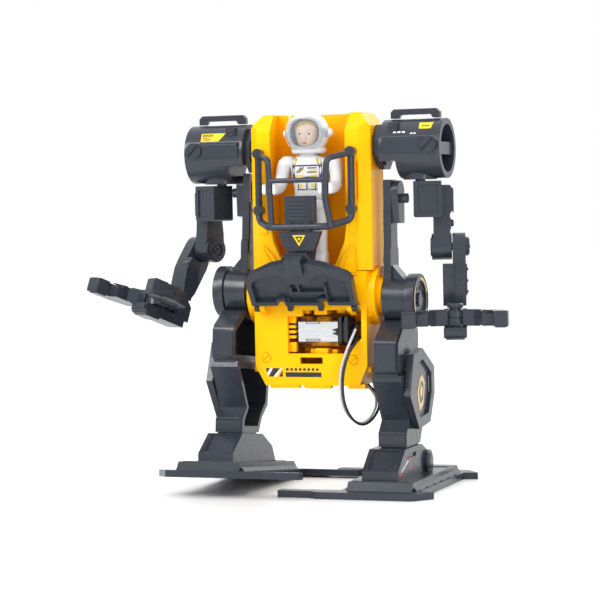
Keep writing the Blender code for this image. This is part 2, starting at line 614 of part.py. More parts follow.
def pod(side):
    """Shoulder pod with its neck, mouth bar, arm boss and carrying handle."""
    y, z = POD_CENTRE
    name = side_name(side)

    def rod(label, inner, outer, radius, centre=(y, z), sides=40):
        return cylinder(label, (side * inner, *centre), (side * outer, *centre), radius, sides=sides)

    body = cylinder(f"pod_{name}", (side * POD_IN, y, z), (side * POD_OUT, y, z), POD_RADIUS, "grey",
                    sides=40)
    relief = box("pod_relief", *zip(span(side, 30, 43.0), (y - 20, y + 20), (z - 20, 158)))
    cut(body, relief, rod("pod_mouth", POD_OUT - 11, POD_OUT + 2, 11.6, sides=32))
    neck = plate("pod_neck", [(y + 10.6 * math.cos(math.radians(a)), 166 + 10.6 * math.sin(math.radians(a)))
                              for a in range(22, 360, 45)], "X", *span(side, TORSO_HALF + GAP, POD_IN + 1))
    bar = box("pod_bar",
              *zip(span(side, POD_OUT - 12, POD_OUT - 1.2), (y - 12.2, y + 12.2), (z - 3, z + 3)))
    boss = cylinder("arm_boss", (side * SHOULDER[0], y, z - 5), (side * SHOULDER[0], y, 149.0), 8.2,
                    sides=32)
    ridge = box("pod_ridge", *zip(span(side, 37, 57), (y - POD_RADIUS - 0.6, y - 9), (z - 2, z + 5.5)))
    disc = cylinder("pod_disc", (side * 60, y - 10, z + 1.6), (side * 60, y - POD_RADIUS - 1.6, z + 1.6),
                    4.0, sides=24)
    lug = box("pod_lug", *zip(span(side, 39.5, 44.0), (y - 12.0, y - 6), (z + 7.5, z + 12.5)))
    pin = cylinder("shoulder_pin", (side * SHOULDER[0], y, 152), (side * SHOULDER[0], y, 140.5), 2.5,
                   sides=16)
    join(body, neck, bar, boss, ridge, disc, lug, pin)
    for height in (7.2, -7.2):
        join(body, rod("pod_post", POD_OUT - 12, POD_OUT - 3.5, 2.6, (y, z + height), 16))
    slot = box("disc_slot", (-5, -1, -0.55), (5, 1, 0.55), None)
    slot.location = Vector((side * 60, y - POD_RADIUS - 1.8, z + 1.6)) * MM
    slot.rotation_euler = (0, math.radians(-45), 0)
    cut(body, slot)

    handle = [(37.6, 178.5), (41.6, 178.5), (42.6, 180.2), (57.6, 180.2), (58.6, 178.5), (62.2, 178.5),
              (62.2, 181.4), (60.6, 183.0), (39.0, 183.0), (37.6, 181.6)]
    plate(f"pod_handle_{name}", mirrored(handle, side), "Y", y - 1.9, y + 1.9, "grey")


# ---------------------------------------------------------------- arms

ARM_POSE = {1: (15.0, -3.0, 3.0), -1: (25.0, -28.0, 8.0)}   # outward yaw, elbow pitch, wrist pitch


def arm(side):
    """Hinge frames of one arm, and its pieces in them."""
    name = side_name(side)
    yaw, elbow_pitch, wrist_pitch = ARM_POSE[side]
    at_shoulder = (side * SHOULDER[0], SHOULDER[1], SHOULDER[2])
    shoulder = empty(f"shoulder_{name}", at_shoulder, ORIGIN, (0, 0, side * yaw))
    elbow = empty(f"elbow_{name}", (0, 0, -31.5), shoulder, (elbow_pitch, 0, 0))
    wrist = empty(f"wrist_{name}", (side * 16.0, -2, -33.5), elbow, (wrist_pitch, 0, 0))
    upper_arm(side, name, shoulder)
    forearm(side, name, elbow)
    palm(name, wrist)
    jaw(side, name, wrist, "outer", side, (0.15, 3.4))
    jaw(side, name, wrist, "inner", -side, (-3.4, -0.15))


def upper_arm(side, name, shoulder):
    """Upper arm that hangs from the pod's pin and carries the elbow barrel and peg."""
    inner_half = [(-3.2, -16.6), (-2.4, -17.2), (9.6, -17.2), (10.2, -16.6), (10.2, 0.2), (-3.2, 0.2)]
    outer_half = [(8, -16.5), (13.5, -16.5), (15.4, -14), (15.4, -3.4), (14.0, -1.8), (8, -1.8)]
    upper = plate(f"upper_arm_{name}", mirrored(inner_half, side), "Y", -8.6, 4.2, "grey", shoulder)
    shell = plate("upper_shell", mirrored(outer_half, side), "Y", -4.4, 6.4, None, shoulder)
    link = plate("upper_link",
                 [(-4.6, -15), (5.2, -15), (6.2, -24), (6.2, -31.5), (-6.2, -31.5), (-5.0, -22)],
                 "X", *span(side, 6.0, 14.0), None, shoulder)
    barrel = cylinder("elbow_barrel", (side * 5.0, 0, -31.5), (side * 14.6, 0, -31.5), 6.4, None, shoulder,
                      28)
    peg = cylinder("elbow_peg", (side * 14.0, 0, -31.5), (side * 20.6, 0, -31.5), 1.9, None, shoulder, 16)
    join(upper, shell, link, barrel, peg)
    cut(upper, cylinder("pin_bore", (0, 0, -9), (0, 0, 2), 2.9, None, shoulder, 16),
        box("upper_recess", *zip(span(side, -1.4, 8.4), (-9.5, -7.8), (-15.0, -1.8)), None, shoulder))


def forearm(side, name, elbow):
    """Forearm that turns on the elbow peg and ends in the wrist lug."""
    fore = plate(f"forearm_{name}", arc((0, 0), 6.6, 10, 170, 8) +
                 [(-7.8, -8), (-8.2, -14), (-6.4, -24), (-6.0, -28.6), (2.6, -28.6), (5.0, -22), (6.8, -8)],
                 "X", *span(side, 15.0, 21.2), "grey", elbow)
    rib = plate("forearm_rib", [(-8.6, -8.4), (-2.0, -8.4), (-1.0, -14), (0.0, -28.6), (-5.8, -28.6),
                                (-7.0, -24), (-9.4, -15)], "X", *span(side, 10.2, 15.6), None, elbow)
    cap = cylinder("elbow_cap", (side * 20.6, 0, 0), (side * 22.6, 0, 0), 4.6, None, elbow, 24)
    wrist_lug = cylinder("wrist_lug", (side * 13.2, -2, -33.5), (side * 18.8, -2, -33.5), 3.6, None, elbow,
                         20)
    lug_neck = box("lug_neck", *zip(span(side, 13.2, 18.8), (-4.8, 0.8), (-33.5, -27.0)), None, elbow)
    join(fore, rib, cap, wrist_lug, lug_neck)
    cut(fore, cylinder("peg_bore", (side * 14, 0, 0), (side * 20.9, 0, 0), 2.2, None, elbow, 16),
        cylinder("wrist_bore", (side * 12, -2, -33.5), (side * 20, -2, -33.5), 1.5, None, elbow, 16))


def palm(name, wrist):
    """Palm with two cheeks on the wrist peg and a post for the jaws."""
    base = box(f"palm_{name}", (-5.4, -13, -9.4), (5.4, 2.0, -4.4), "grey", wrist)
    toe = plate("palm_toe", [(-24.0, -4.4), (-24.0, -8.0), (-22.5, -9.4), (-12, -9.4), (-12, -4.4)], "X",
                -5.4, 5.4, None, wrist)
    post = cylinder("palm_post", (0, -14, -5), (0, -14, 5.4), 2.9, None, wrist, 20)
    join(base, toe, post)
    for cheek in (1, -1):
        join(base, plate("palm_cheek",
                         [(-4.0, -6), (4.5, -6), (4.5, 1.5), (2.4, 3.6), (-2.4, 3.6), (-4.0, 1.5)],
                         "X", *span(cheek, 3.2, 5.4), None, wrist))
    join(base, cylinder("wrist_peg", (-4.4, 0, 0), (4.4, 0, 0), 1.2, None, wrist, 16))


def jaw(side, name, wrist, part, sign, layer):
    """One stepped claw; its hub is the upper or lower half of the hinge round the palm post."""
    low, high = layer
    pivot = empty(f"jaw_pivot_{part}_{name}", (0, -14, 0), wrist)
    outline = mirrored([(3.6, -4.6), (9.0, -4.8), (12.6, -8.4), (12.6, -15), (18.0, -15.6), (18.0, -23.6),
                        (24.6, -24.6), (25.4, -10), (22.0, 0.6), (12.0, 4.6), (3.6, 4.4)], sign)
    claw = plate(f"jaw_{part}_{name}", outline, "Z", -3.4, 3.4, "grey", pivot)
    hub = cylinder("jaw_hub", (0, 0, low), (0, 0, high), 5.2, None, pivot, 24)
    eye = cylinder("jaw_eye", (0, 0, -5), (0, 0, 5), 3.2, None, pivot, 20)
    room_low, room_high = (-high - 0.3, 0.0) if sign == side else (0.0, 3.8)
    room = cylinder("jaw_room", (0, 0, room_low), (0, 0, room_high), 5.6, None, pivot, 24)
    step = box("jaw_step", *zip(span(sign, 10, 19.0), (-17.5, -12.0), (1.6, 5)), None, pivot)
    groove = box("jaw_groove", *zip(span(sign, 24.7, 27), (-12, -2), (-0.5, 0.5)), None, pivot)
    join(claw, hub)
    cut(claw, room, eye, step, groove)


# ---------------------------------------------------------------- legs and feet

def leg(side):
    """Hip cam, hollow leg shell with its guide column, hip cap and outer panel."""
    name = side_name(side)
    height = AXLE_Z - side * CRANK
    hip = empty(f"hip_{name}", (0, 0, height), ORIGIN, (0 if side > 0 else STRIDE_PITCH, 0, 0))
    axle = (0, side * CRANK)                       # the crank axle seen from the cam's centre

    cam_frame = empty(f"cam_{name}", (0, 0, height), ORIGIN)
    plate(f"hip_cam_{name}", [arc((0, 0), 8.9, 0, 350, 35), arc(axle, 1.8, 0, 345, 15)], "X",
          *span(side, 36.0, 44.6), "white", cam_frame)

    shell = plate(f"leg_shell_{name}", [arc((0, 0), 11.5, 0, 350, 35), arc((0, 0), 9.3, 0, 350, 35)], "X",
                  *span(side, 35.2, 46.1), "grey", hip)
    thigh = plate("thigh",
                  [(-9.0, -9.5), (-13, -11.0), (-22.8, -17.6), (-24.2, -20), (-24.2, -33.2), (-22.6, -34.6),
                            (-22.6, -35.4), (12, -35.4), (12.6, -16), (9.0, -9.5)],
                  "X", *span(side, 35.2, 46.1), None, hip)
    shin = plate("shin", [(-22.0, -35.2), (-22.6, -38), (-15.2, -47.5), (-9.0, -57.5), (-14.6, -63.2),
                          (-14.6, -69.7), (7.4, -69.7), (12, -62), (19.4, -56), (20.6, -46), (12.6, -35.2)],
                 "X", *span(side, 33.6, 47.8), None, hip)
    column = plate("column",
                   [(-7, 8), (6, 8), (6, 24), (4.6, 26), (4.6, 58), (-5.6, 58), (-5.6, 26), (-7, 24)],
                   "X", *span(side, 35.4, 39.0), None, hip)
    gusset = plate("gusset", mirrored([(35.4, 8), (44.5, 8), (44.5, 10.5), (39, 17), (35.4, 17)], side),
                   "Y", -5, 4,
                   None, hip)
    lever = plate("lever", arc((0, 52), 5.6, -10, 190, 10) + [(-3.4, 37), (5.0, 37)],
                  "X", *span(side, 38.5, 42.6), None, hip)
    pin = cylinder("lever_pin", (side * 42, 0, 49), (side * 46.0, 0, 49), 2.4, None, hip, 16)
    hollow = plate("drum_hollow", arc((0, 0), 9.3, 0, 350, 35), "X", *span(side, 30, 46.3), None, hip)
    leg_inside = plate("leg_inside",
                       [(-8, -13), (-13, -15.5), (-21.4, -20.6), (-21.4, -32), (8.5, -32), (9.5, -16)],
                       "X", *span(side, 33, 43.6), None, hip)
    shin_inside = plate("shin_inside",
                        [(-18.5, -38.5), (-12.6, -47.5), (-6.6, -57.5), (-11.8, -64), (-11.8, -66.5),
                                        (6.0, -66.5), (10, -60), (16.4, -54.4), (17.4, -46), (11.4, -38.5)],
                        "X", *span(side, 32, 45.2), None, hip)
    lever_hollow = plate("lever_hollow", arc((0, 52), 3.8, -10, 190, 8) + [(-2.0, 39), (3.4, 39)],
                         "X", *span(side, 34, 40.6), None, hip)
    join(shell, thigh, shin, column, gusset, lever, pin)
    cut(shell, hollow, leg_inside, shin_inside, lever_hollow)

    cap_out = 51.6
    cap = cylinder(f"hip_cap_{name}", (side * 46.4, 0, 0), (side * cap_out, 0, 0), 12.7, "grey", hip, 40)
    cut(cap, cylinder("cap_dish", (side * (cap_out - 1.2), 0, 0), (side * (cap_out + 1), 0, 0), 9.2, None,
                      hip, 32))
    join(cap, cylinder("cap_nut", (side * (cap_out - 1.6), 0, 0), (side * (cap_out - 0.1), 0, 0), 3.6, None,
                       hip, 6),
         box("cap_key", *zip(span(side, 46.4, 50.2), (-1.2, 1.2), (-12, 12)), None, hip))

    frame_outline = [(-19, -45), (-12.5, -25.6), (2, -23.2), (21.6, -33.5), (21.6, -46.5), (14, -60),
                     (-5, -62)]
    centre = Vector((2.2, -43))
    window = [tuple(centre + (Vector(p) - centre) * 0.72) for p in frame_outline]
    panel = plate(f"leg_panel_{name}", frame_outline, "X", *span(side, 48.1, 51.4), "grey", hip)
    cut(panel, plate("panel_window", window, "X", *span(side, 49.9, 53), None, hip))


def foot(side):
    """Foot with a wide sole whose inner bars pass the other foot's."""
    name = side_name(side)
    hip = bpy.data.objects[f"hip_{name}"]

    def sole(z):
        return z - LEG

    # the narrowed ends of the bars pass the other foot's as they walk
    tip_start, tip_end, bar_start = -7.4, 9.0, 13.0
    if side > 0:
        front_tip = [(bar_start, -47), (tip_end, -44.3), (tip_start, -44.3), (tip_start, -38)]
        rear_tip = [(tip_start, 50), (tip_start, 43.4), (tip_end, 43.4), (bar_start, 41)]
    else:
        front_tip = [(tip_start, -47), (tip_start, -40.5), (tip_end, -40.5), (bar_start, -38)]
        rear_tip = [(bar_start, 50), (tip_end, 47.6), (tip_start, 47.6), (tip_start, 41)]
    outline = mirrored([(60, -47), (67.5, -37), (60.7, -35.5), (60.7, 38.5), (67.5, 40),
                        (60, 50)] + rear_tip
                       + [(22, 41), (22, -38)] + front_tip[::-1], side)
    foot_plate = plate(f"foot_{name}", outline, "Z", sole(0), sole(3.3), "grey", hip)
    deck = plate("foot_deck", [(-40.5, sole(2)), (-37, sole(7.3)), (37, sole(7.3)), (44, sole(2))], "X",
                 *span(side, 25.5, 57.5), None, hip)
    wing = plate("foot_wing",
                 mirrored([(22.4, sole(2)), (26.5, sole(6.2)), (56.5, sole(6.2)), (60.4, sole(2))], side),
                 "Y", -36, 39, None, hip)
    block = plate("foot_block", [(-33, sole(6)), (-33, sole(11.6)), (-31.5, sole(12.6)), (-21, sole(21)),
                                 (6, sole(21)), (20, sole(15)), (26, sole(6))], "X", *span(side, 31,
                                                                                           49), None, hip)
    boss = cylinder("ankle_boss", (side * 48, 14, sole(12)), (side * 50.6, 14, sole(12)), 5.4, None, hip,
                    24)
    join(foot_plate, deck, wing, block, boss)
    inset = plate("slope_inset", [(-34, sole(12.4)), (-31, sole(12.2)), (-21.4, sole(20)), (-24, sole(24))],
                  "X",
                  *span(side, 34, 46), None, hip)
    slot = box("side_slot", *zip(span(side, 48.2, 50), (-18, -4), (sole(16.4), sole(18.4))), None, hip)
    cut(foot_plate, inset, slot)


for SIDE in (1, -1):
    pod(SIDE)
    arm(SIDE)
    leg(SIDE)
    foot(SIDE)


# ---------------------------------------------------------------- pilot figure

HEAD = (0.0, -12.0, 172.4)
SHOULDER_PIVOT = (-10.5, 157.5)   # Y and Z of the figure's arm pivots
FIGURE_FLOOR = BELLY_TOP + 3.0 + GAP


def figure_body():
    """Trunk, packs, legs and boots of the pilot in one piece."""
    torso = plate("figure_body",
                  both_sides([(6.2, 142.5), (8.2, 146), (8.8, 158), (6.6, 161), (3.0, 162.0)]), "Y",
                  -15.5, -5.0, "white")
    chest = plate("chest_pack", both_sides([(5.6, 147.5), (6.4, 149), (6.4, 157), (5.4, 158.6)]), "Y",
                  -18.6, -15.0)
    backpack = box("life_pack", (-7.0, -5.5, 146.5), (7.0, -0.2, 160.5))
    pelvis = plate("pelvis", both_sides([(4.0, 135), (8.0, 138), (8.2, 143), (6.4, 144)]), "Y", -15.0, -5.4)
    neck = cylinder("figure_neck", (0, -10.8, 160), (0, -10.8, 164.2), 4.2, sides=16)
    join(torso, chest, backpack, pelvis, neck)
    for side in (1, -1):
        thigh = cylinder("figure_leg", (side * 4.6, -9.6, 112), (side * 4.3, -10.2, 139), 3.5, sides=16,
                         end_radius=4.0)
        boot = box("figure_boot",
                   *zip(span(side, 1.1, 8.2), (-15.5, -5.2), (FIGURE_FLOOR, FIGURE_FLOOR + 4.4)))
        pad = cylinder("knee_pad", (side * 4.5, -13.2, 126), (side * 4.5, -15.0, 126), 2.6, sides=12)
        join(torso, thigh, boot, pad)
        joint = cylinder("shoulder_ball", (side * 8.0, *SHOULDER_PIVOT), (side * 10.2, *SHOULDER_PIVOT),
                         2.2, sides=16)
        join(torso, joint)


def figure_head():
    """Head and the helmet round it, with an opening for the face and a knob over each ear."""
    ball("figure_head", (0, HEAD[1] + 0.6, HEAD[2] - 0.4), 6.6, "skin", segments=20, rings=14,
         stretch=(1.0, 1.05, 1.12))
    helmet = ball("figure_helmet", HEAD, 10.3, "white", segments=32, rings=20)
    inside = ball("helmet_inside", HEAD, 8.6, segments=28, rings=18)
    opening = plate("helmet_opening", both_sides([(4.2, 164.6), (7.4, 168.0), (8.2, 172.5), (7.0, 178.0),
                                                  (3.6, 180.2)]), "Y", HEAD[1] - 14, HEAD[1] - 2)
    neck_hole = cylinder("neck_hole", (0, -10.8, 158), (0, -10.8, 168), 4.6, sides=20)
    collar = cylinder("helmet_collar", (0, -11.2, 162.4), (0, -11.2, 165.4), 6.6, sides=24)
    join(helmet, collar)
    cut(helmet, inside, opening, neck_hole)
    for side in (1, -1):
        ear = cylinder("ear_knob", (side * 9.6, HEAD[1], HEAD[2]), (side * 12.6, HEAD[1], HEAD[2]), 2.0,
                       sides=16)
        join(helmet, ear)


def figure_visor():
    """Clear visor that swings up on the helmet's ear knobs."""
    visor_frame = empty("visor_hinge", HEAD, ORIGIN)
    visor = ball("figure_visor", (0, 0, 0), 11.3, "visor", visor_frame, segments=32, rings=20)
    room = ball("visor_room", (0, 0, 0), 10.6, None, visor_frame, segments=32, rings=20)
    cut(visor, room, box("visor_back", (-13, 0.0, -13), (13, 13, 13), None, visor_frame),
        box("visor_low", (-13, -13, -13), (13, 1, -7.4), None, visor_frame),
        box("visor_top", (-13, -13, 7.4), (13, 1, 13), None, visor_frame))
    for side in (1, -1):
        tab = cylinder("visor_tab", (side * 10.5, 0, 0), (side * 11.6, 0, 0), 3.2, None, visor_frame, 16)
        join(visor, tab)
    cut(visor, cylinder("ear_room", (-14, 0, 0), (14, 0, 0), 2.3, None, visor_frame, 16))


def figure_arms():
    """Bent arms whose open hands hold the cage."""
    for side in (1, -1):
        shoulder = empty(f"figure_shoulder_{side_name(side)}", (0, *SHOULDER_PIVOT), ORIGIN)
        sleeve = cylinder(f"figure_arm_{side_name(side)}", (side * 10.5, 0, 0), (side * 14.0, 0, 0), 3.6,
                          "white",
                          shoulder, 20)
        upper = cylinder("figure_upper_arm", (side * 13.7, 0, 0), (side * 13.9, -2.4, -10.4), 3.0, None,
                         shoulder,
                         16, end_radius=2.7)
        bend = ball("figure_elbow", (side * 13.9, -2.4, -10.6), 3.0, None, shoulder, 14, 8)
        fore = cylinder("figure_fore_arm", (side * 13.9, -2.4, -10.6), (side * 14.2, -15.2, -11.8), 2.8,
                        None,
                        shoulder, 16, end_radius=2.3)
        hand = plate("figure_hand",
                     arc((side * 14.2, -18.1), 3.6, 0, 180, 10) + arc((side * 14.2, -18.1), 1.9, 180, 0,
                     8), "Z", -14.2, -9.6, None, shoulder)
        join(sleeve, upper, bend, fore, hand)


figure_body()
figure_head()
figure_visor()
figure_arms()
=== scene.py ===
"""Looks of the walking loader toy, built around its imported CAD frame.

Shapes are given in millimetres from the hip centre's floor point and turned into metres by place().
"""
import json
import math

import bmesh
import bpy
from mathutils import Matrix, Vector


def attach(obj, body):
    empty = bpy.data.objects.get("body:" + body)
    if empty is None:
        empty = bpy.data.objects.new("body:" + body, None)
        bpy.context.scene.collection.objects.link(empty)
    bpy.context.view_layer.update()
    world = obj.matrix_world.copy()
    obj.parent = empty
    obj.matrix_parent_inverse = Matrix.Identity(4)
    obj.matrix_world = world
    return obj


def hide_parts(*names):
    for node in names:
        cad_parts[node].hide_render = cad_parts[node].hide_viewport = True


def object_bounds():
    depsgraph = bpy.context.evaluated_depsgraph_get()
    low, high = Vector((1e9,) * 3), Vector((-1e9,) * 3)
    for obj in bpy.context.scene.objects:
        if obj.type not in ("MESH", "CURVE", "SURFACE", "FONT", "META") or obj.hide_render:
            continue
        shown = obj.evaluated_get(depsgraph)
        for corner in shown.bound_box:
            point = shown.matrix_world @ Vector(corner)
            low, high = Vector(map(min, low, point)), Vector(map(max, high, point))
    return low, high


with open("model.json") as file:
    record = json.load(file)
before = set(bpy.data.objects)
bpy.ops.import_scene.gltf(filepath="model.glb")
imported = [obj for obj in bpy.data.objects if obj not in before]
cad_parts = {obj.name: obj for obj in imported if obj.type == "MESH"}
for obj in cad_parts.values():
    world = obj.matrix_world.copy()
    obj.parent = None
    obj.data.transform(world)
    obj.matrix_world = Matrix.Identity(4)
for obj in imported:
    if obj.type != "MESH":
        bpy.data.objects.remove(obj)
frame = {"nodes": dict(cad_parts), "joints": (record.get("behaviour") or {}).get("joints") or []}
CAD_BOX = [list(corner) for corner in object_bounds()]

MM = 0.001
SIDES = (1, -1)  # left and right of the pilot
NODES = frame["nodes"]
JOINTS = {joint["name"]: joint for joint in frame["joints"]}
HIP = Vector(JOINTS["crank_turn"]["pos_m"])  # centre of the crank axle
FLOOR_Z = CAD_BOX[0][2]
FLOOR_GAP = 0.00005
WELD_DISTANCE = 0.000004  # joins the CAD facets' coincident points
JOIN_DISTANCE = 0.000002  # joins the coincident points of a new piece


def place(x, y, z):
    """A point given in millimetres from the hip centre's floor point."""
    return Vector((HIP.x + x * MM, HIP.y + y * MM, z * MM))


def link(name, data):
    """A new object in the scene."""
    piece = bpy.data.objects.new(name, data)
    bpy.context.scene.collection.objects.link(piece)
    return piece


# ---------------- camera, light and floor

CAMERA_PLACE = (357.4, -1009.0, 135.0)
CAMERA_AIM = (-9.1, -3.2, 91.5)
CAMERA_ROLL = -0.02
CAMERA_LENS = 131.4

LIGHTS = {  # offset, size, power
    "key": ((-0.45, -0.75, 0.62), (0.30, 0.45), 4.5),
    "strip": ((0.62, -0.62, 0.30), (0.12, 0.7), 1.8),
    "rim": ((0.35, 0.85, 0.55), (0.5, 0.4), 2.5),
}


def add_camera():
    """Long lens in front of the toy, towards its left side and a little above its middle."""
    camera = link("camera", bpy.data.cameras.new("camera"))
    camera.data.sensor_width = 36.0
    camera.data.lens = CAMERA_LENS
    camera.data.clip_start = 0.05
    camera.location = place(*CAMERA_PLACE)
    look = (place(*CAMERA_AIM) - camera.location).to_track_quat("-Z", "Y").to_matrix().to_4x4()
    roll = Matrix.Rotation(CAMERA_ROLL, 4, "Z")
    camera.matrix_world = Matrix.Translation(camera.location) @ look @ roll
    bpy.context.scene.camera = camera


def add_light(name, offset, size, power):
    """A white area light aimed at the middle of the toy."""
    data = bpy.data.lights.new(name, "AREA")
    data.shape = "RECTANGLE"
    data.size, data.size_y = size
    data.energy = power
    light = link(name, data)
    target = place(0, 0, 90)
    light.location = target + Vector(offset)
    light.rotation_euler = (target - light.location).to_track_quat("-Z", "Y").to_euler()


def add_node(tree, kind, values=()):
    """A shader node with some inputs set; values pairs input names with numbers or colours."""
    node = tree.nodes.new(kind)
    for socket, value in values:
        node.inputs[socket].default_value = value
    return node


def map_range(tree, value, source, target):
    """Map a value from one (low, high) range on another."""
    limits = zip(("From Min", "From Max", "To Min", "To Max"), (*source, *target))
    node = add_node(tree, "ShaderNodeMapRange", limits)
    tree.links.new(value, node.inputs["Value"])
    return node.outputs["Result"]


def add_world():
    """White studio: brighter overhead, and a little darker in front of the toy, for the reflections."""
    world = bpy.data.worlds.new("studio")
    world.use_nodes = True
    tree = world.node_tree
    where = add_node(tree, "ShaderNodeTexCoord")
    split = add_node(tree, "ShaderNodeSeparateXYZ")
    tree.links.new(where.outputs["Generated"], split.inputs["Vector"])
    both = add_node(tree, "ShaderNodeMath")
    both.operation = "MULTIPLY"
    front = map_range(tree, split.outputs["Y"], (-0.9, -0.1), (0.84, 1.0))
    overhead = map_range(tree, split.outputs["Z"], (0.15, 1.0), (1.0, 1.35))
    tree.links.new(front, both.inputs[0])
    tree.links.new(overhead, both.inputs[1])
    tree.links.new(both.outputs["Value"], tree.nodes["Background"].inputs["Strength"])
    tree.nodes["Background"].inputs["Color"].default_value = (1.0, 1.0, 1.0, 1.0)
    bpy.context.scene.world = world
    bpy.context.scene.view_settings.view_transform = "Standard"


def add_floor():
    """Wide pale floor just under the soles."""
    bm = bmesh.new()
    bmesh.ops.create_grid(bm, x_segments=1, y_segments=1, size=6.0)
    mesh = bpy.data.meshes.new("floor")
    bm.to_mesh(mesh)
    bm.free()
    floor = link("floor", mesh)
    floor.location.z = FLOOR_Z - FLOOR_GAP
    paper, _, shader = new_material("floor_paper")
    shader.inputs["Base Color"].default_value = (0.93, 0.93, 0.93, 1.0)
    shader.inputs["Roughness"].default_value = 0.40
    mesh.materials.append(paper)


# ---------------- materials

def new_material(name):
    """A material with its node tree and its Principled shader."""
    material = bpy.data.materials.new(name)
    material.use_nodes = True
    tree = material.node_tree
    return material, tree, tree.nodes["Principled BSDF"]


def noise(tree, scale, detail=3.0):
    """A noise texture in object space; scale is features per metre."""
    where = add_node(tree, "ShaderNodeTexCoord")
    texture = add_node(tree, "ShaderNodeTexNoise", (("Scale", scale), ("Detail", detail)))
    tree.links.new(where.outputs["Object"], texture.inputs["Vector"])
    return texture.outputs["Fac"]


def ramp(tree, factor, low, high):
    """A colour ramp over a factor; low and high are (position, linear colour)."""
    node = add_node(tree, "ShaderNodeValToRGB")
    for element, (position, color) in zip(node.color_ramp.elements, (low, high)):
        element.position = position
        element.color = (*color, 1.0)
    tree.links.new(factor, node.inputs["Fac"])
    return node.outputs["Color"]


def spread(tree, factor, low, high):
    """Map a noise factor's middle range on low to high."""
    return map_range(tree, factor, (0.3, 0.7), (low, high))


def bump(tree, shader, height, strength, distance):
    """Fine relief from a height value."""
    node = add_node(tree, "ShaderNodeBump", (("Strength", strength), ("Distance", distance)))
    tree.links.new(height, node.inputs["Height"])
    tree.links.new(node.outputs["Normal"], shader.inputs["Normal"])


# reach of the ambient occlusion that drives the painted crevice shade
CREVICE_SHADE_REACH = 0.018
GRAIN_STRENGTH, GRAIN_HEIGHT = 0.07, 0.00004


def paint_crevice_shade(tree, color, crevice_shade_color):
    """Painted shade: blend towards a darker crevice colour where ambient occlusion finds the surface
    enclosed.
    """
    shade = add_node(tree, "ShaderNodeAmbientOcclusion", (("Distance", CREVICE_SHADE_REACH),))
    shade.samples = 6
    blend = add_node(tree, "ShaderNodeMix")
    blend.data_type = "RGBA"
    painted_shade_share = ramp(tree, shade.outputs["AO"], (0.20, (1.0, 1.0, 1.0)), (0.78, (0.0, 0.0, 0.0)))
    tree.links.new(painted_shade_share, blend.inputs["Factor"])
    tree.links.new(color, blend.inputs[6])
    blend.inputs[7].default_value = (*crevice_shade_color, 1.0)
    return blend.outputs[2]


def moulded_plastic(name, light, dark, roughness, crevice_shade_color=None, grain=2600.0, shine=0.5):
    """Injection-moulded plastic: slight flow shading, a fine grain, and painted shade (a deeper colour) in
    crevices.
    """
    material, tree, shader = new_material(name)
    color = ramp(tree, noise(tree, 45.0, 4.0), (0.35, dark), (0.65, light))
    # painted shade: a darker colour where ambient occlusion finds a crevice
    if crevice_shade_color:
        color = paint_crevice_shade(tree, color, crevice_shade_color)
    tree.links.new(color, shader.inputs["Base Color"])
    gloss = spread(tree, noise(tree, 300.0), roughness - 0.05, roughness + 0.06)
    tree.links.new(gloss, shader.inputs["Roughness"])
    bump(tree, shader, noise(tree, grain, 2.0), GRAIN_STRENGTH, GRAIN_HEIGHT)
    shader.inputs["Specular IOR Level"].default_value = shine
    return material


def metal(name, light, dark, roughness=0.30):
    """Bright metal with faint drawn lines along X."""
    material, tree, shader = new_material(name)
    where = add_node(tree, "ShaderNodeTexCoord")
    stretch = add_node(tree, "ShaderNodeMapping", (("Scale", (60.0, 900.0, 900.0)),))
    texture = add_node(tree, "ShaderNodeTexNoise", (("Scale", 2.0), ("Detail", 4.0)))
    tree.links.new(where.outputs["Object"], stretch.inputs["Vector"])
    tree.links.new(stretch.outputs["Vector"], texture.inputs["Vector"])
    lines = texture.outputs["Fac"]
    tree.links.new(ramp(tree, lines, (0.3, dark), (0.7, light)), shader.inputs["Base Color"])
    tree.links.new(spread(tree, lines, roughness - 0.06, roughness + 0.1), shader.inputs["Roughness"])
    shader.inputs["Metallic"].default_value = 1.0
    bump(tree, shader, lines, 0.03, 0.00003)
    return material


def printed_film(name, color, wear):
    """Glossy printed sticker film with faint scuffs."""
    material, tree, shader = new_material(name)
    scuffs = ramp(tree, noise(tree, 520.0, 5.0), (0.62, color), (0.74, wear))
    tree.links.new(scuffs, shader.inputs["Base Color"])
    tree.links.new(spread(tree, noise(tree, 160.0), 0.22, 0.36), shader.inputs["Roughness"])
    return material


def clear_plastic(name, tint):
    """Thin clear plastic with a faint cloudiness."""
    material, tree, shader = new_material(name)
    cloud = ramp(tree, noise(tree, 120.0), (0.3, tint), (0.7, tuple(0.94 * c for c in tint)))
    tree.links.new(cloud, shader.inputs["Base Color"])
    tree.links.new(spread(tree, noise(tree, 240.0), 0.03, 0.09), shader.inputs["Roughness"])
    shader.inputs["Transmission Weight"].default_value = 0.92
    shader.inputs["IOR"].default_value = 1.1
    return material


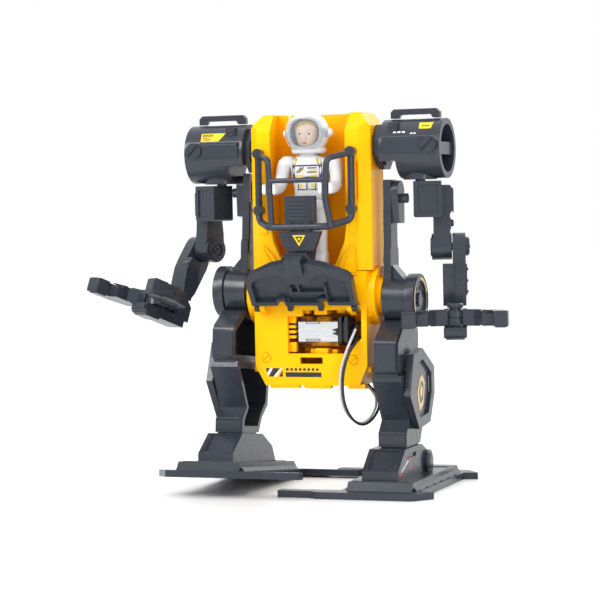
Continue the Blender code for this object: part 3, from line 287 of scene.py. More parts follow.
PLASTICS = {  # light and dark shade, roughness, special looks; the crevice colours are painted shade in hollows
    "yellow_plastic": ((1.0, 0.56, 0.0), (0.98, 0.53, 0.0), 0.32,
                       {"crevice_shade_color": (1.0, 0.37, 0.0), "shine": 0.14}),
    "grey_plastic": ((0.030, 0.036, 0.050), (0.026, 0.031, 0.044), 0.24, {"grain": 3200.0, "shine": 0.42}),
    "gear_plastic": ((0.78, 0.76, 0.68), (0.70, 0.68, 0.60), 0.35, {}),
    "figure_white": ((0.84, 0.84, 0.83), (0.77, 0.77, 0.77), 0.38, {"crevice_shade_color": (0.55, 0.56, 0.60)}),
    "figure_skin": ((0.80, 0.52, 0.39), (0.74, 0.46, 0.34), 0.45, {}),
    "hair_paint": ((0.62, 0.38, 0.10), (0.50, 0.28, 0.06), 0.45, {"grain": 1500.0}),
    "black_plastic": ((0.020, 0.020, 0.022), (0.014, 0.014, 0.016), 0.38, {}),
    "wire_black": ((0.018, 0.018, 0.020), (0.012, 0.012, 0.014), 0.42, {}),
    "wire_white": ((0.62, 0.64, 0.68), (0.52, 0.54, 0.58), 0.42, {}),
    "cell_wrap": ((0.10, 0.11, 0.13), (0.07, 0.08, 0.09), 0.30, {}),
}
METALS = {
    "steel": ((0.70, 0.72, 0.74), (0.62, 0.64, 0.66)),
    "brass": ((0.78, 0.58, 0.26), (0.62, 0.44, 0.18)),
}
FILMS = {  # ink and its worn shade
    "sticker_yellow": ((0.90, 0.62, 0.01), (0.72, 0.52, 0.05)),
    "sticker_black": ((0.012, 0.012, 0.013), (0.06, 0.06, 0.06)),
    "sticker_white": ((0.82, 0.82, 0.82), (0.62, 0.62, 0.62)),
    "sticker_red": ((0.55, 0.02, 0.02), (0.40, 0.05, 0.05)),
    "sticker_purple": ((0.06, 0.035, 0.16), (0.10, 0.07, 0.2)),
}


def all_materials():
    """Every material of the toy by its slot name."""
    materials = {name: moulded_plastic(name, light, dark, roughness, **special)
                 for name, (light, dark, roughness, special) in PLASTICS.items()}
    materials.update({name: metal(name, *shades) for name, shades in METALS.items()})
    materials.update({name: printed_film(name, *inks) for name, inks in FILMS.items()})
    materials["visor_plastic"] = clear_plastic("visor_plastic", (0.93, 0.98, 1.0))
    return materials


MATERIALS = all_materials()


# ---------------- dressing the CAD nodes

SHARP_ANGLE = math.radians(32)
EDGE_WIDTH = {"yellow_plastic": 0.35, "grey_plastic": 0.35, "figure_white": 0.35, "figure_skin": 0.3,
              "black_plastic": 0.25, "cell_wrap": 0.3, "steel": 0.2, "brass": 0.0, "gear_plastic": 0.12,
              "wire_white": 0.0, "wire_black": 0.0, "visor_plastic": 0.0}


def smooth_by_angle_group():
    """Node group that shades every face smooth and keeps edges over the sharp angle sharp."""
    group = bpy.data.node_groups.new("smooth_by_angle", "GeometryNodeTree")
    group.interface.new_socket("Geometry", in_out="INPUT", socket_type="NodeSocketGeometry")
    group.interface.new_socket("Geometry", in_out="OUTPUT", socket_type="NodeSocketGeometry")
    start = group.nodes.new("NodeGroupInput")
    end = group.nodes.new("NodeGroupOutput")
    angle = group.nodes.new("GeometryNodeInputMeshEdgeAngle")
    compare = group.nodes.new("FunctionNodeCompare")
    compare.data_type = "FLOAT"
    compare.operation = "GREATER_THAN"
    compare.inputs[1].default_value = SHARP_ANGLE
    faces = group.nodes.new("GeometryNodeSetShadeSmooth")
    faces.domain = "FACE"
    faces.inputs["Shade Smooth"].default_value = True
    edges = group.nodes.new("GeometryNodeSetShadeSmooth")
    edges.domain = "EDGE"
    edges.inputs["Shade Smooth"].default_value = False
    group.links.new(start.outputs[0], faces.inputs["Geometry"])
    group.links.new(faces.outputs["Geometry"], edges.inputs["Geometry"])
    group.links.new(angle.outputs["Unsigned Angle"], compare.inputs[0])
    group.links.new(compare.outputs["Result"], edges.inputs["Selection"])
    group.links.new(edges.outputs["Geometry"], end.inputs[0])
    return group


SMOOTH_BY_ANGLE = smooth_by_angle_group()


def round_edges(piece, width):
    """Moulded edges: join coincident points, round the sharp edges, keep flats flat."""
    weld = piece.modifiers.new("weld", "WELD")
    weld.merge_threshold = WELD_DISTANCE
    if width:
        bevel = piece.modifiers.new("edges", "BEVEL")
        bevel.width = width * MM
        bevel.segments = 2
        bevel.limit_method = "ANGLE"
        bevel.angle_limit = SHARP_ANGLE
        bevel.miter_outer = "MITER_ARC"
        bevel.use_clamp_overlap = True
    smooth = piece.modifiers.new("smooth", "NODES")
    smooth.node_group = SMOOTH_BY_ANGLE
    weighted = piece.modifiers.new("normals", "WEIGHTED_NORMAL")
    weighted.keep_sharp = True
    weighted.weight = 80


def dress_nodes():
    """Give every CAD node its material and its moulded edges."""
    for node in NODES.values():
        finish = node.material_slots[0].material.name.split(".")[0]
        for slot in node.material_slots:
            slot.material = MATERIALS[finish]
        round_edges(node, EDGE_WIDTH[finish])


# ---------------- frames of the moving assemblies

def turn(axis, degrees):
    """A rotation about X, Y or Z."""
    return Matrix.Rotation(math.radians(degrees), 4, axis)


def shift(x, y, z):
    """A translation in millimetres."""
    return Matrix.Translation((x, y, z))


WORLD = Matrix.Identity(4)
HATCH = shift(0, -19, 89) @ turn("X", 32)  # the open hatch about its hinge
LEG = {1: shift(0, 0, 91.2), -1: shift(0, 0, 95.8) @ turn("X", -5.82)}  # the legs about their cams
ARM_POSE = {1: (15, -3, 3), -1: (-25, -28, 8)}  # yaw, elbow and wrist pitch in degrees
SHOULDER = (51.5, 3, 148)
ELBOW_DROP = -31.5  # elbow pin below the shoulder
WRIST = (16, -2, -33.5)  # wrist pin from the elbow
JAW_PIN_Y = -14  # jaw pins ahead of the wrist


def arm_frames(side):
    """Frames of the shoulder, the elbow and the wrist of one arm."""
    yaw, elbow_pitch, wrist_pitch = ARM_POSE[side]
    shoulder = shift(side * SHOULDER[0], *SHOULDER[1:]) @ turn("Z", yaw)
    elbow = shoulder @ shift(0, 0, ELBOW_DROP) @ turn("X", elbow_pitch)
    wrist = elbow @ shift(side * WRIST[0], *WRIST[1:]) @ turn("X", wrist_pitch)
    return shoulder, elbow, wrist


def side_name(side):
    """The pilot's side in words."""
    return "left" if side > 0 else "right"


# ---------------- building pieces

def merged(parts):
    """Several (vertices, faces) pairs as one."""
    vertices, faces = [], []
    for part_vertices, part_faces in parts:
        base = len(vertices)
        vertices += part_vertices
        faces += [[base + index for index in face] for face in part_faces]
    return vertices, faces


def add_piece(name, parts, finish, body, width=0.0, at=WORLD, replaced=()):
    """Make a piece from (vertices, faces) parts in an assembly frame and tie it to its CAD body."""
    vertices, faces = merged(parts)
    mesh = bpy.data.meshes.new(name)
    mesh.from_pydata([place(*(at @ Vector(point))) for point in vertices], [], faces)
    bm = bmesh.new()
    bm.from_mesh(mesh)
    bmesh.ops.remove_doubles(bm, verts=bm.verts, dist=JOIN_DISTANCE)
    bmesh.ops.recalc_face_normals(bm, faces=bm.faces)
    bm.to_mesh(mesh)
    bm.free()
    mesh.materials.append(MATERIALS[finish])
    piece = link(name, mesh)
    round_edges(piece, width)
    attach(piece, body)
    if replaced:
        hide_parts(*replaced)
    return piece


def side_piece(side, name, parts, finish, body, width=0.0, at=WORLD, replaced=()):
    """A piece that carries its side's name and rides a body of that side."""
    word = side_name(side)
    add_piece(f"{name}_{word}", parts, finish, f"{word}_{body}", width, at, replaced)


def loft(rings, closed_ends=True):
    """A skin over rings of equally many points."""
    count = len(rings[0])
    vertices = [point for ring in rings for point in ring]
    faces = []
    for low in range(0, (len(rings) - 1) * count, count):
        for column in range(count):
            after = (column + 1) % count
            faces.append([low + column, low + after, low + count + after, low + count + column])
    if closed_ends:
        faces.append(list(range(count))[::-1])
        faces.append([(len(rings) - 1) * count + column for column in range(count)])
    return vertices, faces


def prism(outline, axis, low, high):
    """An outline of (a, b) points drawn out along X, Y or Z. a and b are the other two axes in order."""
    def point(a, b, level):
        """The corner above (a, b) at a level along the axis."""
        return {"X": (level, a, b), "Y": (a, level, b), "Z": (a, b, level)}[axis]
    return loft([[point(a, b, low) for a, b in outline], [point(a, b, high) for a, b in outline]])


def rectangle(low, high):
    """The outline between two opposite corners."""
    return [(low[0], low[1]), (high[0], low[1]), (high[0], high[1]), (low[0], high[1])]


def block(low, high):
    """A box between two opposite corners."""
    return prism(rectangle(low, high), "Z", low[2], high[2])


def section(centre, across, other, wide, high, sides):
    """Points of an ellipse about a centre, in the plane of two directions."""
    turns = [math.tau * k / sides for k in range(sides)]
    return [tuple(centre + across * (wide * math.cos(a)) + other * (high * math.sin(a))) for a in turns]


def lathe(profile, start, end, sides=24):
    """Turn a profile of (distance along the axis, radius) about the line from start towards end."""
    start, end = Vector(start), Vector(end)
    along = (end - start).normalized()
    across = along.orthogonal().normalized()
    other = along.cross(across)
    return loft([section(start + along * distance, across, other, radius, radius, sides)
                 for distance, radius in profile])


def curve_value(p, q, r, s, t):
    """Catmull-Rom value at t between q and r, for numbers or vectors."""
    return 0.5 * (2 * q + (r - p) * t + (2 * p - 5 * q + 4 * r - s) * t ** 2
                  + (3 * q - p - 3 * r + s) * t ** 3)


def catmull_rom(points, steps):
    """Points on a smooth curve through the given points."""
    points = [Vector(point) for point in points]
    padded = [2 * points[0] - points[1]] + points + [2 * points[-1] - points[-2]]
    fine = [curve_value(*padded[k:k + 4], step / steps)
            for k in range(len(points) - 1) for step in range(steps)]
    return fine + [points[-1]]


def smooth_levels(levels, steps=4):
    """More section levels between the given ones, on a smooth curve through them."""
    padded = [levels[0]] + list(levels) + [levels[-1]]
    fine = [tuple(curve_value(*numbers, step / steps) for numbers in zip(*padded[k:k + 4]))
            for k in range(len(levels) - 1) for step in range(steps)]
    return fine + [tuple(levels[-1])]


def swept(points, radii, sides=16):
    """A round limb or bar along points, with one radius for all or one per point, and domed ends."""
    points = [Vector(point) for point in points]
    if not isinstance(radii, list):
        radii = [radii] * len(points)
    first = (points[0] - points[1]).normalized()
    last = (points[-1] - points[-2]).normalized()
    dome = (0.55, 1.0, 1.35)
    points = ([points[0] + first * radii[0] * math.sin(a) for a in dome[::-1]] + points
              + [points[-1] + last * radii[-1] * math.sin(a) for a in dome])
    radii = ([radii[0] * math.cos(a) for a in dome[::-1]] + radii
             + [radii[-1] * math.cos(a) for a in dome])
    rings = []
    across = None
    for k, point in enumerate(points):
        along = (points[min(k + 1, len(points) - 1)] - points[max(k - 1, 0)]).normalized()
        if across is None:
            across = along.orthogonal().normalized()
        across = (across - along * across.dot(along)).normalized()
        rings.append(section(point, across, along.cross(across), radii[k], radii[k], sides))
    return loft(rings)


def rounded_box(levels, sides=32, power=3.2):
    """A form of rounded-rectangle sections. levels are (z, x centre, y centre, half x, half y)."""
    rings = []
    for z, cx, cy, half_x, half_y in levels:
        ring = []
        for k in range(sides):
            angle = math.tau * (k + 0.5) / sides
            c, s = math.cos(angle), math.sin(angle)
            ring.append((cx + half_x * math.copysign(abs(c) ** (2 / power), c),
                         cy + half_y * math.copysign(abs(s) ** (2 / power), s), z))
        rings.append(ring)
    return loft(rings)


def oval(cx, cz, half_x, half_z, sides=16):
    """The outline of an ellipse."""
    turns = [math.tau * k / sides for k in range(sides)]
    return [(cx + half_x * math.cos(a), cz + half_z * math.sin(a)) for a in turns]


def circle(cx, cz, radius, sides=24):
    """The outline of a circle."""
    return oval(cx, cz, radius, radius, sides)


def rounded_route(corners, reach=3.0):
    """Straight runs between corners, with a round bend at every inner corner."""
    corners = [Vector(corner) for corner in corners]
    points = [corners[0]]
    for before, corner, after in zip(corners, corners[1:], corners[2:]):
        into, out = before - corner, after - corner
        start = corner + into.normalized() * min(reach, into.length * 0.45)
        end = corner + out.normalized() * min(reach, out.length * 0.45)
        for step in range(7):
            t = step / 6
            points.append(start.lerp(corner, t).lerp(corner.lerp(end, t), t))
    return points + [corners[-1]]


def scaled(outline, share):
    """An outline shrunk or grown about its middle."""
    middle = sum((Vector(point) for point in outline), Vector((0, 0))) / len(outline)
    return [tuple(middle + (Vector(point) - middle) * share) for point in outline]


def mirrored(outline, side):
    """An outline on the left as it is, on the right with its first axis turned over."""
    return [(side * a, b) for a, b in outline]


def ring_plate(outer, inner, axis, low, high):
    """A flat ring between two outlines with equally many points."""
    outer_wall, _ = prism(outer, axis, low, high)
    inner_wall, _ = prism(inner, axis, low, high)
    count = len(outer)
    low_ring, high_ring = outer_wall[:count], outer_wall[count:]
    return loft([low_ring, high_ring, inner_wall[count:], inner_wall[:count], low_ring], closed_ends=False)


def frame_plate(outline, share, axis, low, high):
    """A flat ring between an outline and its smaller copy."""
    return ring_plate(outline, scaled(outline, share), axis, low, high)


def side_prism(outline, side, inner, outer):
    """An outline of (y, z) points drawn out between two distances from the middle on one side."""
    return prism(outline, "X", *sorted((side * inner, side * outer)))


def side_frame(outline, share, side, inner, outer):
    """A flat ring that faces sideways, between an outline and its smaller copy."""
    return frame_plate(outline, share, "X", *sorted((side * inner, side * outer)))


def side_block(side, inner, outer, y, z):
    """A box between two distances from the middle on one side."""
    low, high = sorted((side * inner, side * outer))
    return block((low, y[0], z[0]), (high, y[1], z[1]))


def side_lathe(profile, side, x, y, z, sides=24):
    """A turned piece that points away from the middle, starting x from it."""
    return lathe(profile, (side * x, y, z), (side * (x + 1), y, z), sides)


# ---------------- motor leads

LEAD_RADIUS = 0.65
LEADS = {
    "white": [(22.7, -6.6, 80.6), (23.4, -12.4, 79.6), (22.6, -17.3, 74.9), (19.6, -19.3, 66.8),
              (17.2, -20.4, 57.5), (16.8, -19.9, 47.0), (18.0, -17.4, 39.2), (20.6, -13.5, 34.0),
              (23.5, -9.2, 32.2), (26.2, -4.6, 34.2), (27.8, -0.6, 38.9), (27.2, 2.4, 43.2),
              (24.6, 4.3, 46.6), (21.4, 5.2, 49.6), (19.8, 5.2, 53.5), (19.4, 5.2, 58.0)],
    "black": [(22.7, -6.6, 72.4), (23.2, -12.2, 73.6), (23.8, -17.6, 71.2), (21.1, -20.0, 66.0),
              (18.7, -21.1, 56.9), (18.3, -20.6, 46.4), (19.5, -18.1, 38.6), (22.1, -14.2, 33.2),
              (25.0, -9.7, 31.6), (27.7, -4.8, 33.9), (29.3, -0.2, 38.6), (28.2, 3.6, 43.2),
              (25.3, 5.7, 46.6), (21.9, 6.7, 49.6), (20.3, 6.7, 53.5), (19.9, 6.7, 58.0)],
}


def motor_leads():
    """The two leads that hang from the motor's terminals and go back into the housing."""
    for color, route in LEADS.items():
        points = [place(*point) for point in catmull_rom(route, 4)]
        curve = bpy.data.curves.new(f"lead_{color}", "CURVE")
        curve.dimensions = "3D"
        curve.bevel_depth = LEAD_RADIUS * MM
        curve.bevel_resolution = 4
        curve.use_fill_caps = True
        spline = curve.splines.new("POLY")
        spline.points.add(len(points) - 1)
        for target, point in zip(spline.points, points):
            target.co = (*point, 1.0)
        curve.materials.append(MATERIALS[f"wire_{color}"])
        lead = link(f"lead_{color}", curve)
        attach(lead, "root")
        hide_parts(f"motor_wire_{color}")


# ---------------- pilot's helmet and visor

HELMET = (0.0, -12.0, 172.4)  # centre of the ball
HELMET_INNER, HELMET_OUTER = 9.1, 10.35
VISOR_INNER, VISOR_OUTER = 10.85, 11.35


def helmet_shell():
    """A hollow ball with a rounded-rectangular opening at the front."""
    rim_wide, rim_high = math.radians(55), math.radians(46)
    sides, steps = 56, 18

    def ring(radius, share):
        """Points at a share of the way from the rim (0) to the back of the ball (1)."""
        points = []
        for k in range(sides):
            around = math.tau * k / sides
            wide, high = abs(math.cos(around)) / rim_wide, abs(math.sin(around)) / rim_high
            edge = (wide ** 2.6 + high ** 2.6) ** (-1 / 2.6)
            polar = edge + (math.pi - 0.02 - edge) * share
            points.append((HELMET[0] + radius * math.sin(polar) * math.cos(around),
                           HELMET[1] - radius * math.cos(polar),
                           HELMET[2] + radius * math.sin(polar) * math.sin(around)))
        return points

    shares = [(k / steps) ** 1.2 for k in range(steps + 1)]
    rings = [ring(HELMET_INNER, share) for share in shares[::-1]]
    rings += [ring(9.5, -0.012), ring(10.2, -0.016), ring(10.38, 0.004)]
    rings += [ring(HELMET_OUTER, share) for share in shares[1:]]
    return loft(rings, closed_ends=False)


def neck_roll():
    """Padded oval ring between helmet and suit."""
    sides, around_roll = 40, [math.tau * j / 12 for j in range(12)]
    roll = []
    for k in range(sides):
        around = math.tau * k / sides
        roll.append([(7.0 * math.cos(around) * (1 + 0.23 * math.cos(t)),
                      -11.2 + 6.4 * math.sin(around) * (1 + 0.23 * math.cos(t)),
                      164.1 + 1.55 * math.sin(t)) for t in around_roll])
    return loft(roll + [roll[0]], closed_ends=False)


def helmet():
    """Helmet shell, neck roll and the two visor knobs."""
    knob = [(0, 1.9), (0.3, 2.3), (1.4, 2.3), (1.7, 1.9), (1.9, 1.5), (2.6, 1.5), (2.8, 1.1)]
    knobs = [side_lathe(knob, side, 9.7, HELMET[1], HELMET[2]) for side in SIDES]
    add_piece("helmet_shell", [helmet_shell(), neck_roll(), *knobs], "figure_white", "root",
              replaced=("figure_helmet",))


def on_helmet(radius, azimuth, elevation):
    """A point on a ball about the helmet's centre. Azimuth 0, elevation 0 is straight ahead, along -Y."""
    x = radius * math.cos(elevation) * math.sin(azimuth)
    y = -radius * math.cos(elevation) * math.cos(azimuth)
    return (HELMET[0] + x, HELMET[1] + y, HELMET[2] + radius * math.sin(elevation))


def visor_window():
    """The dome of the visor, narrower towards its top and bottom."""
    wide, high = math.radians(60), math.radians(44)
    rows, columns = 18, 28
    skin = []
    for row in range(rows + 1):
        level = -1 + 2 * row / rows
        reach = wide * (0.55 + 0.45 * (1 - abs(level) ** 3.0) ** (1 / 3))
        outer, inner = ([on_helmet(radius, reach * (-1 + 2 * c / columns), high * level)
                         for c in range(columns + 1)] for radius in (VISOR_OUTER, VISOR_INNER))
        skin.append(outer + inner[::-1])
    return loft(skin)


def visor():
    """Clear dome with two arms that reach back to the knobs."""
    start, end = math.radians(56), math.radians(96)
    arms = []
    for side in SIDES:
        sections = []
        for k in range(8):
            azimuth = side * (start + (end - start) * k / 7)
            half = math.radians(11 - 3 * k / 7)
            corners = ((VISOR_OUTER, -half), (VISOR_OUTER, half), (VISOR_INNER, half), (VISOR_INNER, -half))
            sections.append([on_helmet(radius, azimuth, level) for radius, level in corners])
        arms.append(loft(sections))
    add_piece("visor_dome", [visor_window(), *arms], "visor_plastic", "visor", replaced=("figure_visor",))


# ---------------- prints on the pilot

TORSO_POWER, HEAD_POWER = 3.0, 2.3  # squareness of the sections
TORSO = smooth_levels([
    (134.2, 0, -10.2, 6.6, 4.0), (136.0, 0, -10.2, 7.8, 4.9), (139.6, 0, -10.2, 7.9, 5.0),
    (140.5, 0, -10.2, 7.2, 4.4), (141.4, 0, -10.2, 7.8, 4.9), (145.0, 0, -10.2, 7.6, 4.9),
    (150.5, 0, -10.2, 8.6, 5.2), (155.5, 0, -10.2, 9.3, 5.3), (158.6, 0, -10.2, 9.0, 5.2),
    (160.6, 0, -10.3, 7.4, 4.8), (161.8, 0, -10.6, 5.0, 4.3), (163.8, 0, -10.8, 4.2, 4.1)])
HEAD = smooth_levels([
    (164.9, 0, -13.2, 1.4, 1.6), (165.5, 0, -13.0, 2.9, 3.2), (167.2, 0, -12.2, 4.6, 4.9),
    (169.6, 0, -11.7, 5.5, 5.9), (172.2, 0, -11.4, 6.0, 6.5), (174.8, 0, -11.3, 6.1, 6.5),
    (177.0, 0, -11.1, 5.3, 5.7), (178.6, 0, -11.0, 3.6, 4.0), (179.3, 0, -11.0, 1.5, 1.7)])


def front_of(levels, power, x, z):
    """The Y of a stacked-section form's front at (x, z)."""
    for lower, upper in zip(levels, levels[1:]):
        if lower[0] <= z <= upper[0]:
            t = (z - lower[0]) / max(upper[0] - lower[0], 1e-6)
            _, cx, cy, half_x, half_y = (p + (q - p) * t for p, q in zip(lower, upper))
            reach = max(0.0, 1 - abs((x - cx) / half_x) ** power)
            return cy - half_y * reach ** (1 / power)
    return levels[0][2]


def printed(outlines, levels, power, lift, depth=0.12):
    """Thin printed shapes that follow the front of a stacked-section form, from (x, z) outlines."""
    parts = []
    for outline in outlines:
        fine = []
        for (x0, z0), (x1, z1) in zip(outline, outline[1:] + outline[:1]):
            steps = max(1, round(math.hypot(x1 - x0, z1 - z0) / 0.9))
            fine += [(x0 + (x1 - x0) * k / steps, z0 + (z1 - z0) * k / steps) for k in range(steps)]
        parts.append(loft([[(x, front_of(levels, power, x, z) + offset, z) for x, z in fine]
                           for offset in (depth, -lift)]))
    return parts


def strip(x0, z0, x1, z1, width):
    """A straight stripe from one point to another."""
    length = math.hypot(x1 - x0, z1 - z0)
    nx, nz = -(z1 - z0) / length * width / 2, (x1 - x0) / length * width / 2
    return [(x0 - nx, z0 - nz), (x1 - nx, z1 - nz), (x1 + nx, z1 + nz), (x0 + nx, z0 + nz)]


def flipped(outline):
    """The same outline on the other side of the middle."""
    return [(-x, z) for x, z in outline][::-1]


def both_sides(outlines):
    """Outlines followed by their copies on the other side."""
    return outlines + [flipped(outline) for outline in outlines]


# ---------------- pilot figure

def head():
    """Plain toy head with a small nose."""
    nose = smooth_levels([(168.7, 0, -17.4, 0.9, 0.8), (169.4, 0, -17.8, 1.15, 1.1),
                          (170.4, 0, -17.8, 0.8, 0.9), (172.6, 0, -17.5, 0.45, 0.45)], 3)
    parts = [rounded_box(HEAD, 36, HEAD_POWER), rounded_box(nose, 12, 2.0)]
    add_piece("head", parts, "figure_skin", "root", replaced=("figure_head",))


def hair():
    """A cap over the crown with a curved parting above the face."""
    crown = smooth_levels([
        (167.0, 0, -10.4, 5.3, 5.0), (170.0, 0, -10.7, 6.2, 6.0), (173.0, 0, -10.9, 6.6, 6.5),
        (176.0, 0, -11.0, 6.4, 6.5), (178.4, 0, -11.0, 4.8, 5.3), (179.8, 0, -11.0, 2.2, 2.6)])
    vertices, faces = rounded_box(crown, 40, 2.2)
    kept = []
    for face in faces:
        centre = sum((Vector(vertices[index]) for index in face), Vector()) / len(face)
        parting = 176.4 - 0.10 * (centre.x - 1.5) ** 2
        if len(face) == 4 and not (centre.y < -12.4 and centre.z < parting):
            kept.append(face)
    cap = add_piece("hair", [(vertices, kept)], "hair_paint", "root")
    thick = cap.modifiers.new("thick", "SOLIDIFY")
    thick.thickness = 0.5 * MM
    thick.offset = -1.0
    cap.modifiers.move(len(cap.modifiers) - 1, 1)


def face_print():
    """Printed eyes, brows and mouth of a plain toy face."""
    eye = oval(2.45, 172.0, 1.05, 0.62)
    iris = oval(2.4, 172.0, 0.52, 0.56, 12)
    brow = strip(1.3, 173.8, 3.7, 174.0, 0.36)
    lips = oval(0, 167.5, 1.25, 0.3)
    for name, outlines, finish, lift in (
            ("eye_whites", both_sides([eye]), "figure_white", 0.06),
            ("irises", both_sides([iris]), "black_plastic", 0.10),
            ("brows", both_sides([brow]), "hair_paint", 0.10),
            ("lips", [lips], "sticker_red", 0.07)):
        add_piece(name, printed(outlines, HEAD, HEAD_POWER, lift), finish, "root")


def suit_leg(side):
    """One trouser leg, its boot and its knee pad."""
    route = catmull_rom([(side * 4.3, -10.2, 137.0), (side * 4.4, -9.8, 130.0), (side * 4.5, -10.2, 124.5),
                         (side * 4.5, -9.7, 118.0), (side * 4.6, -9.8, 113.4)], 3)
    radii = [4.0, 4.0, 3.95, 3.9, 3.8, 3.7, 3.65, 3.55, 3.45, 3.4, 3.35, 3.3, 3.3]
    boot = [(109.3, side * 4.6, -10.3, 3.1, 4.8), (109.7, side * 4.6, -10.3, 3.5, 5.15),
            (110.9, side * 4.6, -10.3, 3.5, 5.15), (112.4, side * 4.6, -10.1, 3.5, 4.7),
            (113.8, side * 4.6, -9.8, 3.5, 3.9), (115.2, side * 4.6, -9.8, 3.5, 3.6)]
    pad = [(123.6, side * 4.5, -12.9, 1.5, 0.9), (124.4, side * 4.5, -13.0, 2.2, 1.3),
           (126.6, side * 4.5, -13.0, 2.3, 1.4), (128.4, side * 4.4, -12.9, 1.6, 1.1)]
    return [swept(route, radii, 24), rounded_box(smooth_levels(boot, 3), 28, 3.4),
            rounded_box(smooth_levels(pad, 3), 20, 3.0)]


def suit():
    """Space suit with its back pack, legs and boots."""
    pack = [(146.6, 0, -2.9, 6.2, 2.0), (147.4, 0, -2.9, 6.9, 2.6), (153.5, 0, -2.9, 7.0, 2.7),
            (159.6, 0, -2.9, 6.9, 2.6), (160.4, 0, -2.9, 6.2, 2.0)]
    parts = [rounded_box(TORSO, 40, TORSO_POWER), rounded_box(pack, 32, 5.0)]
    for side in SIDES:
        parts += suit_leg(side)
    add_piece("space_suit", parts, "figure_white", "root", replaced=("figure_body",))


def harness():
    """Printed straps, bands and plain panel lines on the chest."""
    straps = [strip(5.6, 160.4, 6.9, 157.0, 1.7), strip(6.9, 157.6, 6.9, 151.0, 1.5),
              strip(6.6, 156.8, 0, 156.8, 0.7), strip(6.9, 151.2, 0, 151.2, 0.6)]
    bright = [strip(5.7, 160.0, 6.2, 158.8, 1.1), strip(6.4, 158.2, 6.8, 157.2, 1.1),
              strip(2.0, 151.9, 5.6, 151.9, 0.9), strip(4.9, 154.6, 1.2, 154.6, 0.5)]
    buttons = [oval(3.2, 147.0, 0.7, 0.9), oval(-3.2, 147.0, 0.7, 0.9)]
    dark = [strip(-5.2, 153.4, -2.6, 156.0, 0.5), strip(-4.0, 153.4, -1.4, 156.0, 0.5),
            strip(0.4, 155.6, 5.2, 155.6, 0.5), strip(0.4, 153.6, 5.2, 153.6, 0.5),
            strip(-5.0, 145.3, 5.0, 145.3, 0.5), strip(0, 145.4, 0, 148.4, 0.5),
            strip(4.4, 145.4, 4.4, 148.2, 0.4), strip(-4.4, 145.4, -4.4, 148.2, 0.4)]
    for name, outlines, finish, lift in (
            ("harness_print", both_sides(straps), "sticker_purple", 0.08),
            ("harness_yellow", both_sides(bright) + buttons, "sticker_yellow", 0.12),
            ("harness_dark", dark, "sticker_black", 0.12)):
        add_piece(name, printed(outlines, TORSO, TORSO_POWER, lift), finish, "root")


def glove(side):
    """The cuff and the open, gripping hand at the end of a suit arm."""
    cuff = lathe([(0, 2.5), (0.2, 2.85), (1.1, 2.85), (1.3, 2.5), (2.2, 2.2)], (side * 14.2, -13.2, -11.9),
                 (side * 14.2, -16, -11.9))
    palm = ((1.95, -13.6), (2.3, -14.2), (3.2, -14.2), (3.6, -13.6),
            (3.6, -10.2), (3.2, -9.6), (2.3, -9.6), (1.95, -10.2))
    grip = []
    for k in range(15):
        around = math.radians(-205 + 230 * k / 14)
        grip.append([(side * 14.2 + math.cos(around) * r, -18.1 - math.sin(around) * r, z)
                     for r, z in palm])
    return [cuff, loft(grip)]


def pilot_arms():
    """Both suit arms, bent forward at the elbow, with fuller shoulders."""
    for side in SIDES:
        name = side_name(side)
        route = [(side * x, y, z) for x, y, z in (
            (10.3, 0, 0.9), (12.6, 0, 0.2), (13.8, -0.6, -4.5), (14.1, -2.0, -8.6),
            (14.2, -5.0, -11.0), (14.2, -9.5, -11.8), (14.2, -14.2, -11.9))]
        path = catmull_rom(route, 3)
        radii = [3.3 + 0.35 * math.sin(math.pi * k / 6) if k < 6 else 3.3 - 0.055 * (k - 6)
                 for k in range(len(path))]
        add_piece(f"suit_arm_{name}", [swept(path, radii, 24), *glove(side)], "figure_white",
                  f"pilot_{name}_arm", at=shift(0, -10.5, 157.5), replaced=(f"figure_arm_{name}",))


# ---------------- cage, console and torso front

CAGE_FRONT = -28.6  # Y of the cage's front bars
CONSOLE_FRONT = -28.1  # Y of the raised marks on the console
TUB_FRONT = -14.15  # Y of the torso's front rails


def cage_hoops():
    """The outer hoop and the two bars that rise inside it."""
    right_half = [(-23.6, -18.4, 163.0), (-23.6, -18.8, 130.6), (-14.8, CAGE_FRONT, 127.4)]
    left_half = [(-x, y, z) for x, y, z in right_half[::-1]]
    parts = [swept(rounded_route(right_half + left_half, 3.4), 1.72, 18)]
    inner_feet = {-1: [(-13.6, CAGE_FRONT, 127.6)],
                  1: [(13.7, CAGE_FRONT, 141.0), (16.4, CAGE_FRONT, 127.6)]}
    knob = [(0, 1.9), (0.2, 2.3), (4.0, 2.5), (4.6, 2.5), (4.95, 2.1)]
    for side in SIDES:
        top = [(side * 23.2, -18.6, 162.4), (side * 14.8, CAGE_FRONT, 159.7)]
        parts.append(swept(rounded_route(top + inner_feet[side], 3.0), 1.5))
        parts += [lathe(knob, (side * 23.6, -15.8, z), (side * 23.6, -21, z), 28) for z in (163.0, 135.6)]
    return parts


def cage():
    """Roll cage bent from round bar, with a cross bar and flat-headed knobs at its four fixings."""
    cross_bar = [(-14.4, CAGE_FRONT, 149.6), (-7, CAGE_FRONT - 0.3, 149.6), (7, CAGE_FRONT - 0.3, 149.6),
                 (14.4, CAGE_FRONT, 149.6)]
    parts = cage_hoops() + [swept(cross_bar, 1.2, 14)]
    parts += [side_block(1, x - 1.2, x + 1.2, (-29.6, -26.4), (125.4, 129.4)) for x in (-4.6, 4.6)]
    add_piece("roll_cage", parts, "grey_plastic", "root", replaced=("cage",))


